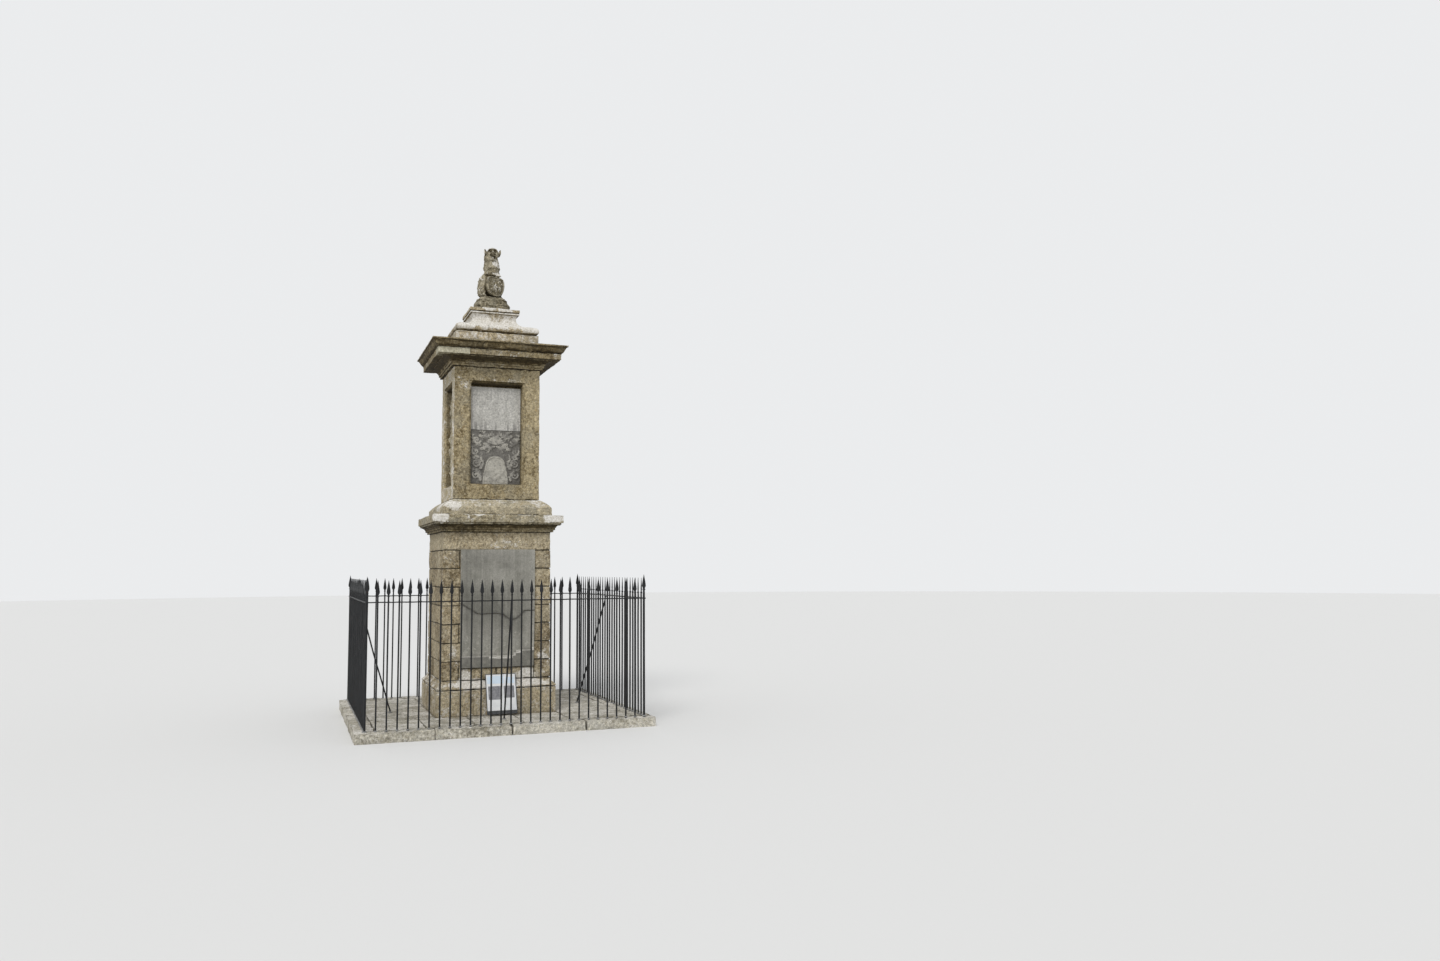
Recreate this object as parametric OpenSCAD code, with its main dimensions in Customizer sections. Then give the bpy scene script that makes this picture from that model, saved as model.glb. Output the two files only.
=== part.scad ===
// Two-stage stone pedestal monument with a seated griffin on top,
// standing on a stone platform inside a square iron railing.
// Origin: centre of the platform's underside. +Z is up and -Y is the front.

/* [Kerb and platform] */
// Height of the kerb and of the stone platform inside it
kerb_h = 150; // [80:1:300]
// Width of each kerb stone
kerb_w = 300; // [200:1:500]
// Open joint between neighbouring stones
joint = 0.4; // [0.2:0.1:1]

/* [Lower stage] */
// Width of the plain plinth course
plinth_w = 1850; // [1800:1:2100]
// Height of the plinth course
plinth_h = 390; // [250:1:600]
// Height of the sloped base course above the plinth
base_h = 135; // [100:1:250]
// Width of the lower die
lower_die_w = 1690; // [1500:1:1780]
// Number of ashlar courses in the lower die
lower_courses = 8; // [5:1:12]
// Height of one ashlar course
course_h = 285.6; // [200:0.1:400]
// Width of the lower tablet
tablet_w = 1140; // [800:1:1300]
// Height of the lower tablet, its foot strip included
tablet_h = 1825; // [1200:1:1900]
// Height of the tablet's broken foot strip
tablet_foot_h = 190; // [100:1:400]
// How far the lower tablet stands out from the die
tablet_t = 32; // [15:1:60]

/* [Pedestal cornice] */
// Height of the hollow moulding under the ledge
bed_h = 110; // [80:1:200]
// Width of the projecting ledge
ledge_w = 2030; // [1980:1:2300]
// Height of the ledge, its fillet included
ledge_h = 160; // [120:1:250]
// Width of the block that slopes up to the upper die
weathering_w = 1714; // [1500:1:1800]
// Height of that sloping block
weathering_h = 250; // [180:1:350]

/* [Upper stage] */
// Width of the upper die
upper_die_w = 1366; // [1200:1:1400]
// Height of the upper die
upper_die_h = 2110; // [1900:1:2600]
// Width of each sunk panel
panel_w = 790; // [600:1:950]
// Height of each sunk panel
panel_h = 1590; // [1300:1:1700]
// Depth of each sunk panel
panel_depth = 172; // [120:1:190]
// Width of the splayed edge round a panel
panel_splay = 46; // [20:1:60]
// Height of the stone between the weathering and the panel
panel_sill = 255; // [180:1:300]
// Height of the carved slab in the lower half of a panel
relief_h = 865; // [600:1:1000]
// Thickness of the slabs that line a panel
slab_t = 42; // [30:1:55]
// Rise of the trophies above the slabs at the sides
trophy_rise = 100; // [40:1:115]

/* [Main cornice] */
// Height of the stepped and hollow moulding under the corona
cornice_bed_h = 145; // [110:1:200]
// Width of the corona
corona_w = 1940; // [1850:1:2000]
// Height of the corona
corona_h = 95; // [70:1:140]
// Length of the newer stone let into the corona's left end
repair_w = 560; // [300:1:900]
// Width of the crown moulding at its lip
crown_w = 2136; // [2060:1:2300]
// Height of the crown moulding's lip above its bed
crown_h = 132; // [90:1:200]
// Rise of the sloped top behind the lip
crown_rise = 73; // [40:1:120]

/* [Stepped cap] */
// Width of the plain blocking course
blocking_w = 1330; // [1200:1:1400]
// Height of the plain blocking course
blocking_h = 135; // [80:1:200]
// Height of the round torus moulding
torus_h = 136; // [100:1:180]
// Width at the neck of the hollow scotia
neck_w = 706; // [620:1:760]
// Height of the scotia, its fillet included
scotia_h = 265; // [200:1:350]
// Width of the cap slab
cap_w = 820; // [800:1:950]
// Height of the cap slab
cap_h = 65; // [45:1:100]

/* [Griffin] */
// Height of the rocky mound
mound_h = 235; // [150:1:350]
// Width of the mound at its foot
mound_w = 610; // [520:1:700]
// Height of the seated griffin above the mound
griffin_h = 880; // [700:1:1000]
// Turn of the griffin towards its left hand
griffin_turn = 28; // [0:1:45]
// Turn of its head back towards its right hand
head_turn = 36; // [0:1:50]

/* [Railing] */
// Distance between the centres of two corner bars
railing_span = 4044; // [3900:1:4400]
// Number of gaps between the bars of one side
bar_gaps = 28; // [20:1:34]
// Thickness of one square bar
bar_t = 22; // [16:1:28]
// Thickness of a square corner bar
post_t = 30; // [24:1:40]
// Height of the rail's top above the kerb
rail_z = 1780; // [1400:1:1900]
// Thickness of the flat rail
rail_t = 16; // [10:1:24]
// Width of the flat rail
rail_w = 46; // [34:1:60]
// Height of a spear head's tip above the rail
spear_rise = 303; // [220:1:360]
// Width of a spear head
spear_w = 54; // [36:1:70]
// Extra height of a corner bar's spear head
post_extra = 50; // [20:1:90]
// Thickness of the slanting stays
stay_t = 22; // [16:1:30]
// How far a stay's foot stands in from the railing
stay_run = 530; // [400:1:700]

/* [Notice board] */
// Width of the leaning board
board_w = 480; // [350:1:600]
// Height of the leaning board
board_h = 640; // [560:1:760]
// Thickness of the leaning board
board_t = 14; // [8:1:25]
// Distance of the board's foot from the plinth
board_run = 150; // [100:1:220]
// Distance of the board's middle to the right of the monument's middle
board_x = 55; // [-200:1:200]

/* [Hidden] */

STONE = "tan";
SLATE = "slategray";
IRON = "black";
steps = 8;

// Levels of the beds, from the platform's top up
z_plinth = kerb_h;
z_base = z_plinth + plinth_h;
z_lower_die = z_base + base_h;
z_bed = z_lower_die + lower_courses * course_h;
z_ledge = z_bed + bed_h;
z_weathering = z_ledge + ledge_h;
z_upper_die = z_weathering + weathering_h;
z_cornice = z_upper_die + upper_die_h;
z_corona = z_cornice + cornice_bed_h;
z_crown = z_corona + corona_h;
z_blocking = z_crown + crown_h + crown_rise;
z_torus = z_blocking + blocking_h;
z_scotia = z_torus + torus_h;
z_cap = z_scotia + scotia_h;
z_mound = z_cap + cap_h;
z_griffin = z_mound + mound_h;

// Half widths
plinth_a = plinth_w / 2;
lower_a = lower_die_w / 2;
ledge_a = ledge_w / 2;
weathering_a = weathering_w / 2;
upper_a = upper_die_w / 2;
corona_a = corona_w / 2;
crown_a = crown_w / 2;
blocking_a = blocking_w / 2;
torus_r = torus_h / 2;
neck_a = neck_w / 2;
cap_a = cap_w / 2;
railing_a = railing_span / 2;

// Kerb and platform
kerb_overhang = kerb_w / 2;
kerb_out = railing_a + kerb_overhang;
kerb_in = railing_a - kerb_overhang;
slabs_per_side = 4;
kerbs_per_side = 4;

// Tablets and panels
tablet_drop = 275;
tablet_z = z_bed - tablet_drop - tablet_h;
panel_z = z_upper_die + panel_sill;
slab_top_gap = 32;
slab_face = upper_a - panel_depth + slab_t;
relief_rise = 26;

// Railing
bar_pitch = railing_span / bar_gaps;
spear_neck = 85;
spear_belly = 46;
spear_tip_w = 3;

// Points of a curve with one control point
function curve(p0, p1, p2) =
    [for (i = [0 : steps]) let (t = i / steps)
        p0 * (1 - t) * (1 - t) + p1 * 2 * t * (1 - t) + p2 * t * t];

// Points of a circular arc
function arc(centre, r, from, to) =
    [for (i = [0 : steps]) let (t = from + (to - from) * i / steps)
        centre + r * [cos(t), sin(t)]];

// Points of a quarter hollow that starts upright and ends level
function hollow(start, run, rise) =
    [for (i = [0 : steps]) let (t = 90 * i / steps)
        start + [run * (1 - cos(t)), rise * sin(t)]];

// Points of a double curve that is level at both ends
function cyma(start, run, rise) =
    [for (i = [0 : 2 * steps]) let (t = 180 * i / (2 * steps))
        start + [run * t / 180, rise * (1 - cos(t)) / 2]];

// A profile of half widths and heights, closed across the middle
function both_sides(profile) =
    concat(profile, [for (i = [len(profile) - 1 : -1 : 0]) [-profile[i][0], profile[i][1]]]);

function widest(profile) = max([for (p = profile) p[0]]);

// A square course of stone with mitred corners
module course(profile, z) {
    translate([0, 0, z])
        intersection_for (turn = [0, 90])
            rotate([90, 0, turn])
                linear_extrude(height = 2 * widest(profile) + 2, center = true)
                    polygon(both_sides(profile));
}

// A block with its foot at z, centred on x and y
module block(size, z = 0) {
    translate([-size[0] / 2, -size[1] / 2, z]) cube(size);
}

// A row of stones along x, with open joints between them
module stone_row(length, depth, height, count) {
    stone = (length - (count - 1) * joint) / count;
    for (i = [0 : count - 1])
        translate([-length / 2 + i * (stone + joint), 0, 0])
            cube([stone, depth, height]);
}

// The kerb's front and back rows run over the corners
module kerb_row_long() {
    color(STONE) translate([0, kerb_in, 0])
        stone_row(2 * kerb_out, kerb_w, kerb_h, kerbs_per_side);
}

module kerb_row_short() {
    color(STONE) translate([0, kerb_in, 0])
        stone_row(2 * kerb_in - 2 * joint, kerb_w, kerb_h, kerbs_per_side);
}

module kerb_back() { kerb_row_long(); }
module kerb_front() { rotate([0, 0, 180]) kerb_row_long(); }
module kerb_left() { rotate([0, 0, 90]) kerb_row_short(); }
module kerb_right() { rotate([0, 0, -90]) kerb_row_short(); }

// The platform goes round the plinth in four turning strips
module platform_strip() {
    inner = plinth_a + joint;
    outer = kerb_in - joint;
    length = outer + inner - joint;
    color(STONE) translate([outer - length / 2, inner, 0])
        stone_row(length, outer - inner, kerb_h, slabs_per_side);
}

module platform_back() { platform_strip(); }
module platform_left() { rotate([0, 0, 90]) platform_strip(); }
module platform_front() { rotate([0, 0, 180]) platform_strip(); }
module platform_right() { rotate([0, 0, -90]) platform_strip(); }

// The plinth's own footing reaches down through the platform
module plinth() {
    color(STONE) block([plinth_w, plinth_w, plinth_h + kerb_h]);
}

module base_moulding() {
    fillet = 25;
    slope = base_h - fillet - 20;
    color(STONE) course(concat(
        [[plinth_a, 0], [plinth_a, fillet]],
        curve([plinth_a - 6, fillet + 4], [lower_a + 30, fillet + slope / 2], [lower_a + 4, fillet + slope]),
        [[lower_a + 4, base_h]]), z_base);
}

module lower_die() {
    color(STONE) for (i = [0 : lower_courses - 1])
        block([lower_die_w, lower_die_w, course_h - (i < lower_courses - 1 ? joint : 0)],
            z_lower_die + i * course_h);
}

module lower_tablet() {
    color(SLATE) translate([0, -lower_a - tablet_t / 2, 0])
        block([tablet_w, tablet_t, tablet_h - tablet_foot_h], tablet_z + tablet_foot_h);
}

module lower_tablet_foot() {
    color(SLATE) translate([0, -lower_a - tablet_t / 2, 0])
        block([tablet_w, tablet_t, tablet_foot_h - joint], tablet_z);
}

module rear_tablet() {
    color(SLATE) translate([0, lower_a + tablet_t / 2, 0])
        block([tablet_w, tablet_t, tablet_h], tablet_z);
}

module bed_moulding() {
    step = 0.3 * bed_h;
    start = lower_a + 66;
    color(STONE) course(concat(
        [[lower_a + 32, 0], [lower_a + 32, step], [lower_a + 56, step], [lower_a + 56, 2 * step]],
        hollow([start, 2 * step], ledge_a - 40 - start, bed_h - 2 * step)), z_bed);
}

module pedestal_cornice() {
    fillet = 30;
    wear = 12;
    color(STONE) course([
        [ledge_a - 30, 0], [ledge_a - 30, fillet], [ledge_a, fillet],
        [ledge_a, ledge_h - wear], [ledge_a - wear, ledge_h]], z_ledge);
}

module weathering() {
    upright = 0.47 * weathering_h;
    run = weathering_a - upper_a - 6;
    color(STONE) course(concat(
        [[weathering_a, 0]],
        curve([weathering_a, upright],
            [weathering_a - 0.4 * run, upright + 0.66 * (weathering_h - upright)],
            [weathering_a - run, weathering_h])), z_weathering);
}

// A sunk panel with splayed edges, cut from the plane y = 0 towards +y
module sunk_panel() {
    module prism(size) {
        linear_extrude(height = 2 * max(panel_w, panel_h), center = true)
            polygon([[-size / 2 - panel_splay - 1, -1], [size / 2 + panel_splay + 1, -1],
                [size / 2, panel_splay], [size / 2, panel_depth],
                [-size / 2, panel_depth], [-size / 2, panel_splay]]);
    }
    intersection() {
        prism(panel_w);
        rotate([0, 90, 0]) prism(panel_h);
    }
}

module upper_die() {
    color(STONE) difference() {
        block([upper_die_w, upper_die_w, upper_die_h], z_upper_die);
        for (turn = [0 : 90 : 270])
            rotate([0, 0, turn]) translate([0, -upper_a, panel_z + panel_h / 2]) sunk_panel();
    }
}

// A slab that lines a panel between two heights above the panel's foot
module panel_slab(from, to) {
    translate([0, -slab_face + slab_t / 2, 0])
        block([panel_w - 2 * joint, slab_t, to - from], panel_z + from);
}

// The plain upper slab of a panel
module plain_slab() {
    color(SLATE) panel_slab(relief_h + joint, panel_h - slab_top_gap);
}

// A round-headed raised field with a rim, on the carved slab
module cartouche() {
    half = 0.26 * panel_w;
    head = 0.19 * panel_w;
    spring = 0.345 * relief_h;
    translate([0, -slab_face, panel_z]) rotate([90, 0, 0]) {
        linear_extrude(height = relief_rise) union() {
            polygon([[-half, 30], [half, 30], [head, spring], [-head, spring]]);
            translate([0, spring]) circle(r = head, $fn = 48);
        }
    }
}

// A raised drop of carving beside the cartouche
module side_drop(x) {
    for (k = [0 : 3])
        translate([x, -slab_face, panel_z + relief_h * (0.2 + 0.2 * k)]) rotate([90, 0, 0])
            cylinder(h = relief_rise, r1 = 52 - 4 * k, r2 = 34 - 4 * k, $fn = 32);
}

module carved_slab() {
    color(SLATE) {
        panel_slab(joint, relief_h);
        cartouche();
        for (side = [-1, 1]) side_drop(side * 0.4 * panel_w);
    }
}

// A raised round form on a side slab, its place, size and rise in shares of the panel's own
module raised_form(x, z, size, rise) {
    translate([x * panel_w, -slab_face, panel_z + z * panel_h]) rotate([90, 0, 0])
        cylinder(h = rise * trophy_rise, r1 = size * panel_w, r2 = 0.8 * size * panel_w, $fn = 36);
}

// A tall slab with three trophies in high relief, one above another, hung with swags
module trophy_slab() {
    color(SLATE) {
        panel_slab(joint, panel_h - slab_top_gap);
        for (z = [0.2, 0.5, 0.8]) {
            raised_form(0, z, 0.21, 1);
            for (side = [-1, 1]) {
                raised_form(side * 0.27, z - 0.02, 0.11, 0.72);
                raised_form(side * 0.2, z + 0.075, 0.1, 0.8);
            }
        }
        for (z = [0.35, 0.65]) raised_form(0, z, 0.12, 0.85);
    }
}

module front_tablet() { plain_slab(); }
module front_relief() { carved_slab(); }
module back_tablet() { rotate([0, 0, 180]) plain_slab(); }
module back_relief() { rotate([0, 0, 180]) carved_slab(); }
module left_relief() { rotate([0, 0, -90]) trophy_slab(); }
module right_relief() { rotate([0, 0, 90]) trophy_slab(); }

module cornice_bed() {
    step = 36;
    start = upper_a + 68;
    color(STONE) course(concat(
        [[upper_a + 38, 0], [upper_a + 38, step], [upper_a + 58, step], [upper_a + 58, 2 * step]],
        hollow([start, 2 * step], corona_a - 108 - start, cornice_bed_h - 2 * step)), z_cornice);
}

// The corona's place for the newer stone, at its front left corner
module repair_space(gap) {
    depth = 300;
    translate([-corona_a - 5, -corona_a - 5, z_corona - 5])
        cube([repair_w + 5 - gap, depth + 5 - gap, corona_h + 10]);
}

module corona_ring() {
    course([[corona_a, 0], [corona_a, corona_h - 14], [corona_a + 8, corona_h - 14],
        [corona_a + 8, corona_h]], z_corona);
}

module corona() {
    color(STONE) difference() {
        corona_ring();
        repair_space(0);
    }
}

module corona_repair() {
    color("wheat") intersection() {
        corona_ring();
        repair_space(joint);
    }
}

module crown() {
    fillet = 12;
    lip = 27;
    color(STONE) course(concat(
        [[corona_a + 16, 0]],
        cyma([corona_a + 16, fillet], crown_a - 8 - (corona_a + 16), crown_h - fillet - lip),
        [[crown_a, crown_h - lip], [crown_a, crown_h], [blocking_a + 4, crown_h + crown_rise]]), z_crown);
}

module blocking_course() {
    color(STONE) course([[blocking_a, 0], [blocking_a, blocking_h]], z_blocking);
}

module torus() {
    color(STONE) course(
        arc([blocking_a + 7 - torus_r, torus_r], torus_r, -82, 90), z_torus);
}

module scotia() {
    fillet = 32;
    low = 0.57 * scotia_h;
    color(STONE) course(concat(
        curve([blocking_a + 3 - torus_r, 0], [neck_a + 26, 20], [neck_a, low]),
        curve([neck_a, low + 2], [neck_a, low + 50], [neck_a + 18, scotia_h - fillet]),
        [[cap_a - 12, scotia_h - fillet], [cap_a - 12, scotia_h]]), z_scotia);
}

module cap_slab() {
    wear = 8;
    color(STONE) course([[cap_a - wear, 0], [cap_a, wear], [cap_a, cap_h - wear],
        [cap_a - wear, cap_h]], z_cap);
}

// A rough-hewn mound, made from two square blocks at an angle
module mound() {
    a = mound_w / 2;
    color(STONE) intersection() {
        course([[a, 0], [a - 12, 0.4 * mound_h], [0.86 * a, 0.75 * mound_h], [0.66 * a, mound_h]], z_mound);
        rotate([0, 0, 38])
            course([[1.12 * a, 0], [1.08 * a, 0.35 * mound_h], [0.95 * a, 0.8 * mound_h],
                [0.74 * a, mound_h]], z_mound);
    }
}

// Rounded limb between two points, with its own radius at each end
module limb(from, to, r_from, r_to) {
    sides = r_from > 0.06 * griffin_h ? 20 : 12;
    hull() {
        translate(from) sphere(r = r_from, $fn = sides);
        translate(to) sphere(r = r_to, $fn = sides);
    }
}

// The griffin's own frame: feet at z = 0, facing -y, one unit per figure height
module griffin_body(h) {
    for (side = [-1, 1]) {
        // haunch, hind foot, folded wing and foreleg
        limb([side * 0.1, 0.09, 0.13] * h, [side * 0.09, 0.08, 0.31] * h, 0.135 * h, 0.1 * h);
        limb([side * 0.16, 0.03, 0.042] * h, [side * 0.205, -0.06, 0.03] * h, 0.048 * h, 0.034 * h);
        limb([side * 0.14, 0.1, 0.4] * h, [side * 0.145, 0.18, 0.24] * h, 0.055 * h, 0.04 * h);
        limb([side * 0.145, 0.18, 0.24] * h, [side * 0.12, 0.235, 0.1] * h, 0.04 * h, 0.02 * h);
        limb([side * 0.1, 0, 0.54] * h, [side * 0.055, -0.13, 0.438] * h, 0.068 * h, 0.04 * h);
    }
    // trunk and neck, then the tail round its left haunch
    limb([0, 0.06, 0.18] * h, [0, -0.005, 0.54] * h, 0.19 * h, 0.135 * h);
    limb([0, -0.005, 0.54] * h, [0, 0, 0.7] * h, 0.135 * h, 0.112 * h);
    limb([0, 0, 0.7] * h, [0, 0.03, 0.83] * h, 0.112 * h, 0.085 * h);
    limb([0.02, 0.23, 0.04] * h, [0.15, 0.21, 0.03] * h, 0.026 * h, 0.025 * h);
    limb([0.15, 0.21, 0.03] * h, [0.22, 0.1, 0.045] * h, 0.025 * h, 0.022 * h);
}

// Its head: skull, brows, cheeks, upright ears and a hooked beak held open
module griffin_head(h) {
    limb([0, -0.005, 0.895] * h, [0, 0.03, 0.86] * h, 0.1 * h, 0.095 * h);
    for (side = [-1, 1]) {
        limb([side * 0.02, -0.1, 0.93] * h, [side * 0.075, -0.06, 0.935] * h, 0.024 * h, 0.02 * h);
        limb([side * 0.058, -0.06, 0.86] * h, [side * 0.05, -0.055, 0.75] * h, 0.028 * h, 0.026 * h);
        limb([side * 0.112, 0, 0.86] * h, [side * 0.145, 0, 0.965] * h, 0.033 * h, 0.014 * h);
    }
    limb([0, -0.08, 0.895] * h, [0, -0.15, 0.875] * h, 0.045 * h, 0.035 * h);
    limb([0, -0.15, 0.875] * h, [0, -0.19, 0.825] * h, 0.034 * h, 0.014 * h);
    limb([0, -0.03, 0.745] * h, [0, -0.15, 0.725] * h, 0.045 * h, 0.022 * h);
}

module griffin_figure(h) {
    griffin_body(h);
    translate([0.015, -0.01, 0] * h) rotate([0, 0, -head_turn]) griffin_head(h);
}

module in_griffin_frame() {
    translate([0, 0, z_griffin]) rotate([0, 0, griffin_turn]) children();
}

// The shield stands under the griffin's fore paws
shield_y = -0.118 * griffin_h;
shield_t = 0.055 * griffin_h;
shield_w = 0.41 * griffin_h;
shield_tall = 0.37 * griffin_h;
shield_foot = 0.03 * griffin_h;
shield_rim = 0.07 * shield_w;

// Outline of the shield about its widest level: nearly square above, rounded to a blunt foot below
function shield_outline(w, tall) = [for (turn = [0 : 7.5 : 352.5])
    let (c = cos(turn), s = sin(turn), above = s > 0)
    [w / 2 * sign(c) * pow(abs(c), above ? 0.42 : 0.8),
        tall * (above ? 0.4 * pow(s, 0.42) : -0.6 * pow(-s, 0.92))]];

// A plate of the shield's outline, some way smaller all round
module shield_plate(smaller, thickness) {
    translate([-0.02 * griffin_h, shield_y, shield_foot + 0.6 * shield_tall]) rotate([90, 0, 0])
        linear_extrude(height = thickness)
            polygon(shield_outline(shield_w - 2 * smaller, shield_tall - 2 * smaller));
}

module griffin() {
    color(STONE) in_griffin_frame() difference() {
        griffin_figure(griffin_h);
        translate([-griffin_h, -griffin_h, -griffin_h]) cube([2 * griffin_h, 2 * griffin_h, griffin_h]);
        shield_plate(0, shield_t + 0.1 * griffin_h);
    }
}

// The shield has a raised rim round a sunk field
module shield() {
    color(STONE) in_griffin_frame() difference() {
        shield_plate(0, shield_t);
        translate([0, -0.7 * shield_t, 0]) shield_plate(shield_rim, shield_t);
    }
}

// Half outline of a bar with its spear head: half widths and heights above the kerb
function spear(t, head_w, extra) = let (neck = rail_z + spear_neck + extra) [
    [t / 2, 0], [t / 2, neck], [head_w / 2, neck + spear_belly],
    [spear_tip_w / 2, rail_z + spear_rise + extra]];

// A row of bars along x; the second profile gives their thickness front to back
module bar_row(places, t, head_w, extra) {
    deep = spear(t, t + 4, extra);
    intersection() {
        rotate([90, 0, 0]) linear_extrude(height = 2 * head_w, center = true)
            for (x = places) translate([x, 0]) polygon(both_sides(spear(t, head_w, extra)));
        rotate([90, 0, 90]) linear_extrude(height = 2 * railing_span, center = true)
            polygon(both_sides(deep));
    }
}

// One side of the railing in the plane y = 0, with or without its corner bars
module railing_panel(corners) {
    rail_l = corners ? railing_span + rail_w : railing_span - rail_w;
    first = 1;
    last = bar_gaps - 1;
    color(IRON) translate([0, 0, kerb_h]) {
        block([rail_l, rail_w, rail_t], rail_z - rail_t);
        bar_row([for (i = [first : last]) -railing_a + i * bar_pitch], bar_t, spear_w, 0);
        if (corners)
            bar_row([-railing_a, railing_a], post_t, spear_w + 8, post_extra);
    }
}

module railing_front() { translate([0, -railing_a, 0]) railing_panel(true); }
module railing_back() { translate([0, railing_a, 0]) railing_panel(true); }
module railing_left() { translate([-railing_a, 0, 0]) rotate([0, 0, 90]) railing_panel(false); }
module railing_right() { translate([railing_a, 0, 0]) rotate([0, 0, 90]) railing_panel(false); }

// A slanting stay from the rail's inner edge down to the platform, for the side y < 0
module stay() {
    top_y = -railing_a + rail_w / 2;
    foot_y = -railing_a + stay_run;
    drop = rail_z - rail_t / 2;
    run = foot_y - top_y;
    color(IRON) translate([0, 0, kerb_h]) intersection() {
        rotate([90, 0, 90]) linear_extrude(height = stay_t, center = true)
            polygon([[top_y, drop + stay_t], [top_y, drop - stay_t],
                [foot_y - stay_t, 0], [foot_y, 0], [top_y + stay_t * run / drop, drop + stay_t]]);
        block([stay_t, 4 * railing_a, rail_z]);
    }
}

module stay_front() { stay(); }
module stay_back() { rotate([0, 0, 180]) stay(); }
module stay_left() { rotate([0, 0, -90]) stay(); }
module stay_right() { rotate([0, 0, 90]) stay(); }

// The board leans with its back on the plinth's upper edge
lean = atan(board_run / (plinth_h + 25));
module in_board_frame() {
    translate([board_x, -plinth_a - board_run, kerb_h]) rotate([-lean, 0, 0]) children();
}

module notice_board() {
    frame = 22;
    color("dimgray") in_board_frame() difference() {
        translate([-board_w / 2, -board_t, board_t * sin(lean)]) cube([board_w, board_t, board_h]);
        translate([-board_w / 2 + frame, -board_t - 1, board_t * sin(lean) + 3 * frame])
            cube([board_w - 2 * frame, board_t / 3 + 1, board_h - 4 * frame]);
    }
}

module notice_sheet() {
    frame = 22;
    color("white") in_board_frame()
        translate([-board_w / 2 + frame, -board_t, board_t * sin(lean) + 3 * frame])
            cube([board_w - 2 * frame, board_t / 3, board_h - 4 * frame]);
}

kerb_front();
kerb_back();
kerb_left();
kerb_right();
platform_front();
platform_back();
platform_left();
platform_right();
plinth();
base_moulding();
lower_die();
lower_tablet();
lower_tablet_foot();
rear_tablet();
bed_moulding();
pedestal_cornice();
weathering();
upper_die();
front_tablet();
front_relief();
back_tablet();
back_relief();
left_relief();
right_relief();
cornice_bed();
corona();
corona_repair();
crown();
blocking_course();
torus();
scotia();
cap_slab();
mound();
griffin();
shield();
railing_front();
railing_back();
railing_left();
railing_right();
stay_front();
stay_back();
stay_left();
stay_right();
notice_board();
notice_sheet();
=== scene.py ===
import math

import bmesh
import bpy
import numpy as np
from mathutils import Matrix, Vector

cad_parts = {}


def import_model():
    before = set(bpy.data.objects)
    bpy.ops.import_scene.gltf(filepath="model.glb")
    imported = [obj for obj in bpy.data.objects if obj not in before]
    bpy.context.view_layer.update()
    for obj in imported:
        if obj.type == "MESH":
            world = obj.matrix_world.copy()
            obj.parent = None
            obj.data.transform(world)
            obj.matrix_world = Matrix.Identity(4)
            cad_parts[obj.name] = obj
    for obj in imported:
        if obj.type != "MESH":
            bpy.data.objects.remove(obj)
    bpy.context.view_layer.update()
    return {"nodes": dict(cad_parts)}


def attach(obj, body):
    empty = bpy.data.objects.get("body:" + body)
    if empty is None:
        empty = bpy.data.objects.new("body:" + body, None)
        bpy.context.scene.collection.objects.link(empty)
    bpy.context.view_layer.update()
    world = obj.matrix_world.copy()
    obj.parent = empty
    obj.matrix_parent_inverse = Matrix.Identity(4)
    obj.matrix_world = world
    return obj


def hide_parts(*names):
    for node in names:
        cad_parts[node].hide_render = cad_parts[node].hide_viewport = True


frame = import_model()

# Camera
EYE = (-3.1184, -17.8807, 2.3746)
YAW, PITCH, ROLL = 0.3840, 0.0808, -0.0062
FOCAL_PIXELS, PHOTO_WIDTH, SENSOR, FARTHEST = 1079.76, 1440, 36.0, 400


def add_object(name, data):
    made = bpy.data.objects.new(name, data)
    bpy.context.scene.collection.objects.link(made)
    return made


def place_camera():
    level = np.array([math.cos(YAW), -math.sin(YAW), 0.0])
    ahead = np.array([math.sin(YAW), math.cos(YAW), 0.0])
    forward = ahead * math.cos(PITCH) + np.array([0.0, 0.0, math.sin(PITCH)])
    upright = np.cross(level, forward)
    right = level * math.cos(ROLL) + upright * math.sin(ROLL)
    up = upright * math.cos(ROLL) - level * math.sin(ROLL)
    data = bpy.data.cameras.new("camera")
    data.sensor_width = SENSOR
    data.lens = SENSOR * FOCAL_PIXELS / PHOTO_WIDTH
    data.clip_end = FARTHEST
    camera = add_object("camera", data)
    turn = Matrix([list(right), list(up), list(-forward)]).transposed().to_4x4()
    camera.matrix_world = Matrix.Translation(EYE) @ turn
    bpy.context.scene.camera = camera


place_camera()

# Levels and half widths, metres
Z_KERB, Z_BASE, Z_DIE, Z_BED, Z_LEDGE = 0.15, 0.54, 0.675, 2.9598, 3.0698
Z_WEATHER, Z_UPPER, Z_CORNICE, Z_CORONA = 3.2298, 3.4798, 5.5898, 5.7348
Z_CROWN, Z_BLOCK, Z_TORUS, Z_SCOTIA = 5.8298, 6.0348, 6.1698, 6.3058
Z_CAP, Z_MOUND, Z_GRIFFIN = 6.5708, 6.6358, 6.8708
PLINTH_A, LOWER_A, LEDGE_A, WEATHER_A, UPPER_A = 0.925, 0.845, 1.015, 0.857, 0.683
CORONA_A, CROWN_A, BLOCK_A, TORUS_R, NECK_A, CAP_A = 0.97, 1.068, 0.665, 0.068, 0.353, 0.41
RAIL_A, KERB_OUT, KERB_IN = 2.022, 2.172, 1.872
COURSES = 8
COURSE_H = (Z_BED - Z_DIE) / COURSES
PANEL_W, PANEL_H, PANEL_Z, PANEL_DEEP, SPLAY = 0.79, 1.59, 3.7348, 0.172, 0.046
SLAB_Y = UPPER_A - 0.130
RELIEF_H = 0.865
SIDES = (("front", 0), ("right", 90), ("back", 180), ("left", 270))
# cosine and sine of each side's turn, in the same order
QUARTERS = ((1, 0), (0, 1), (-1, 0), (0, -1))

# Noise

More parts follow.
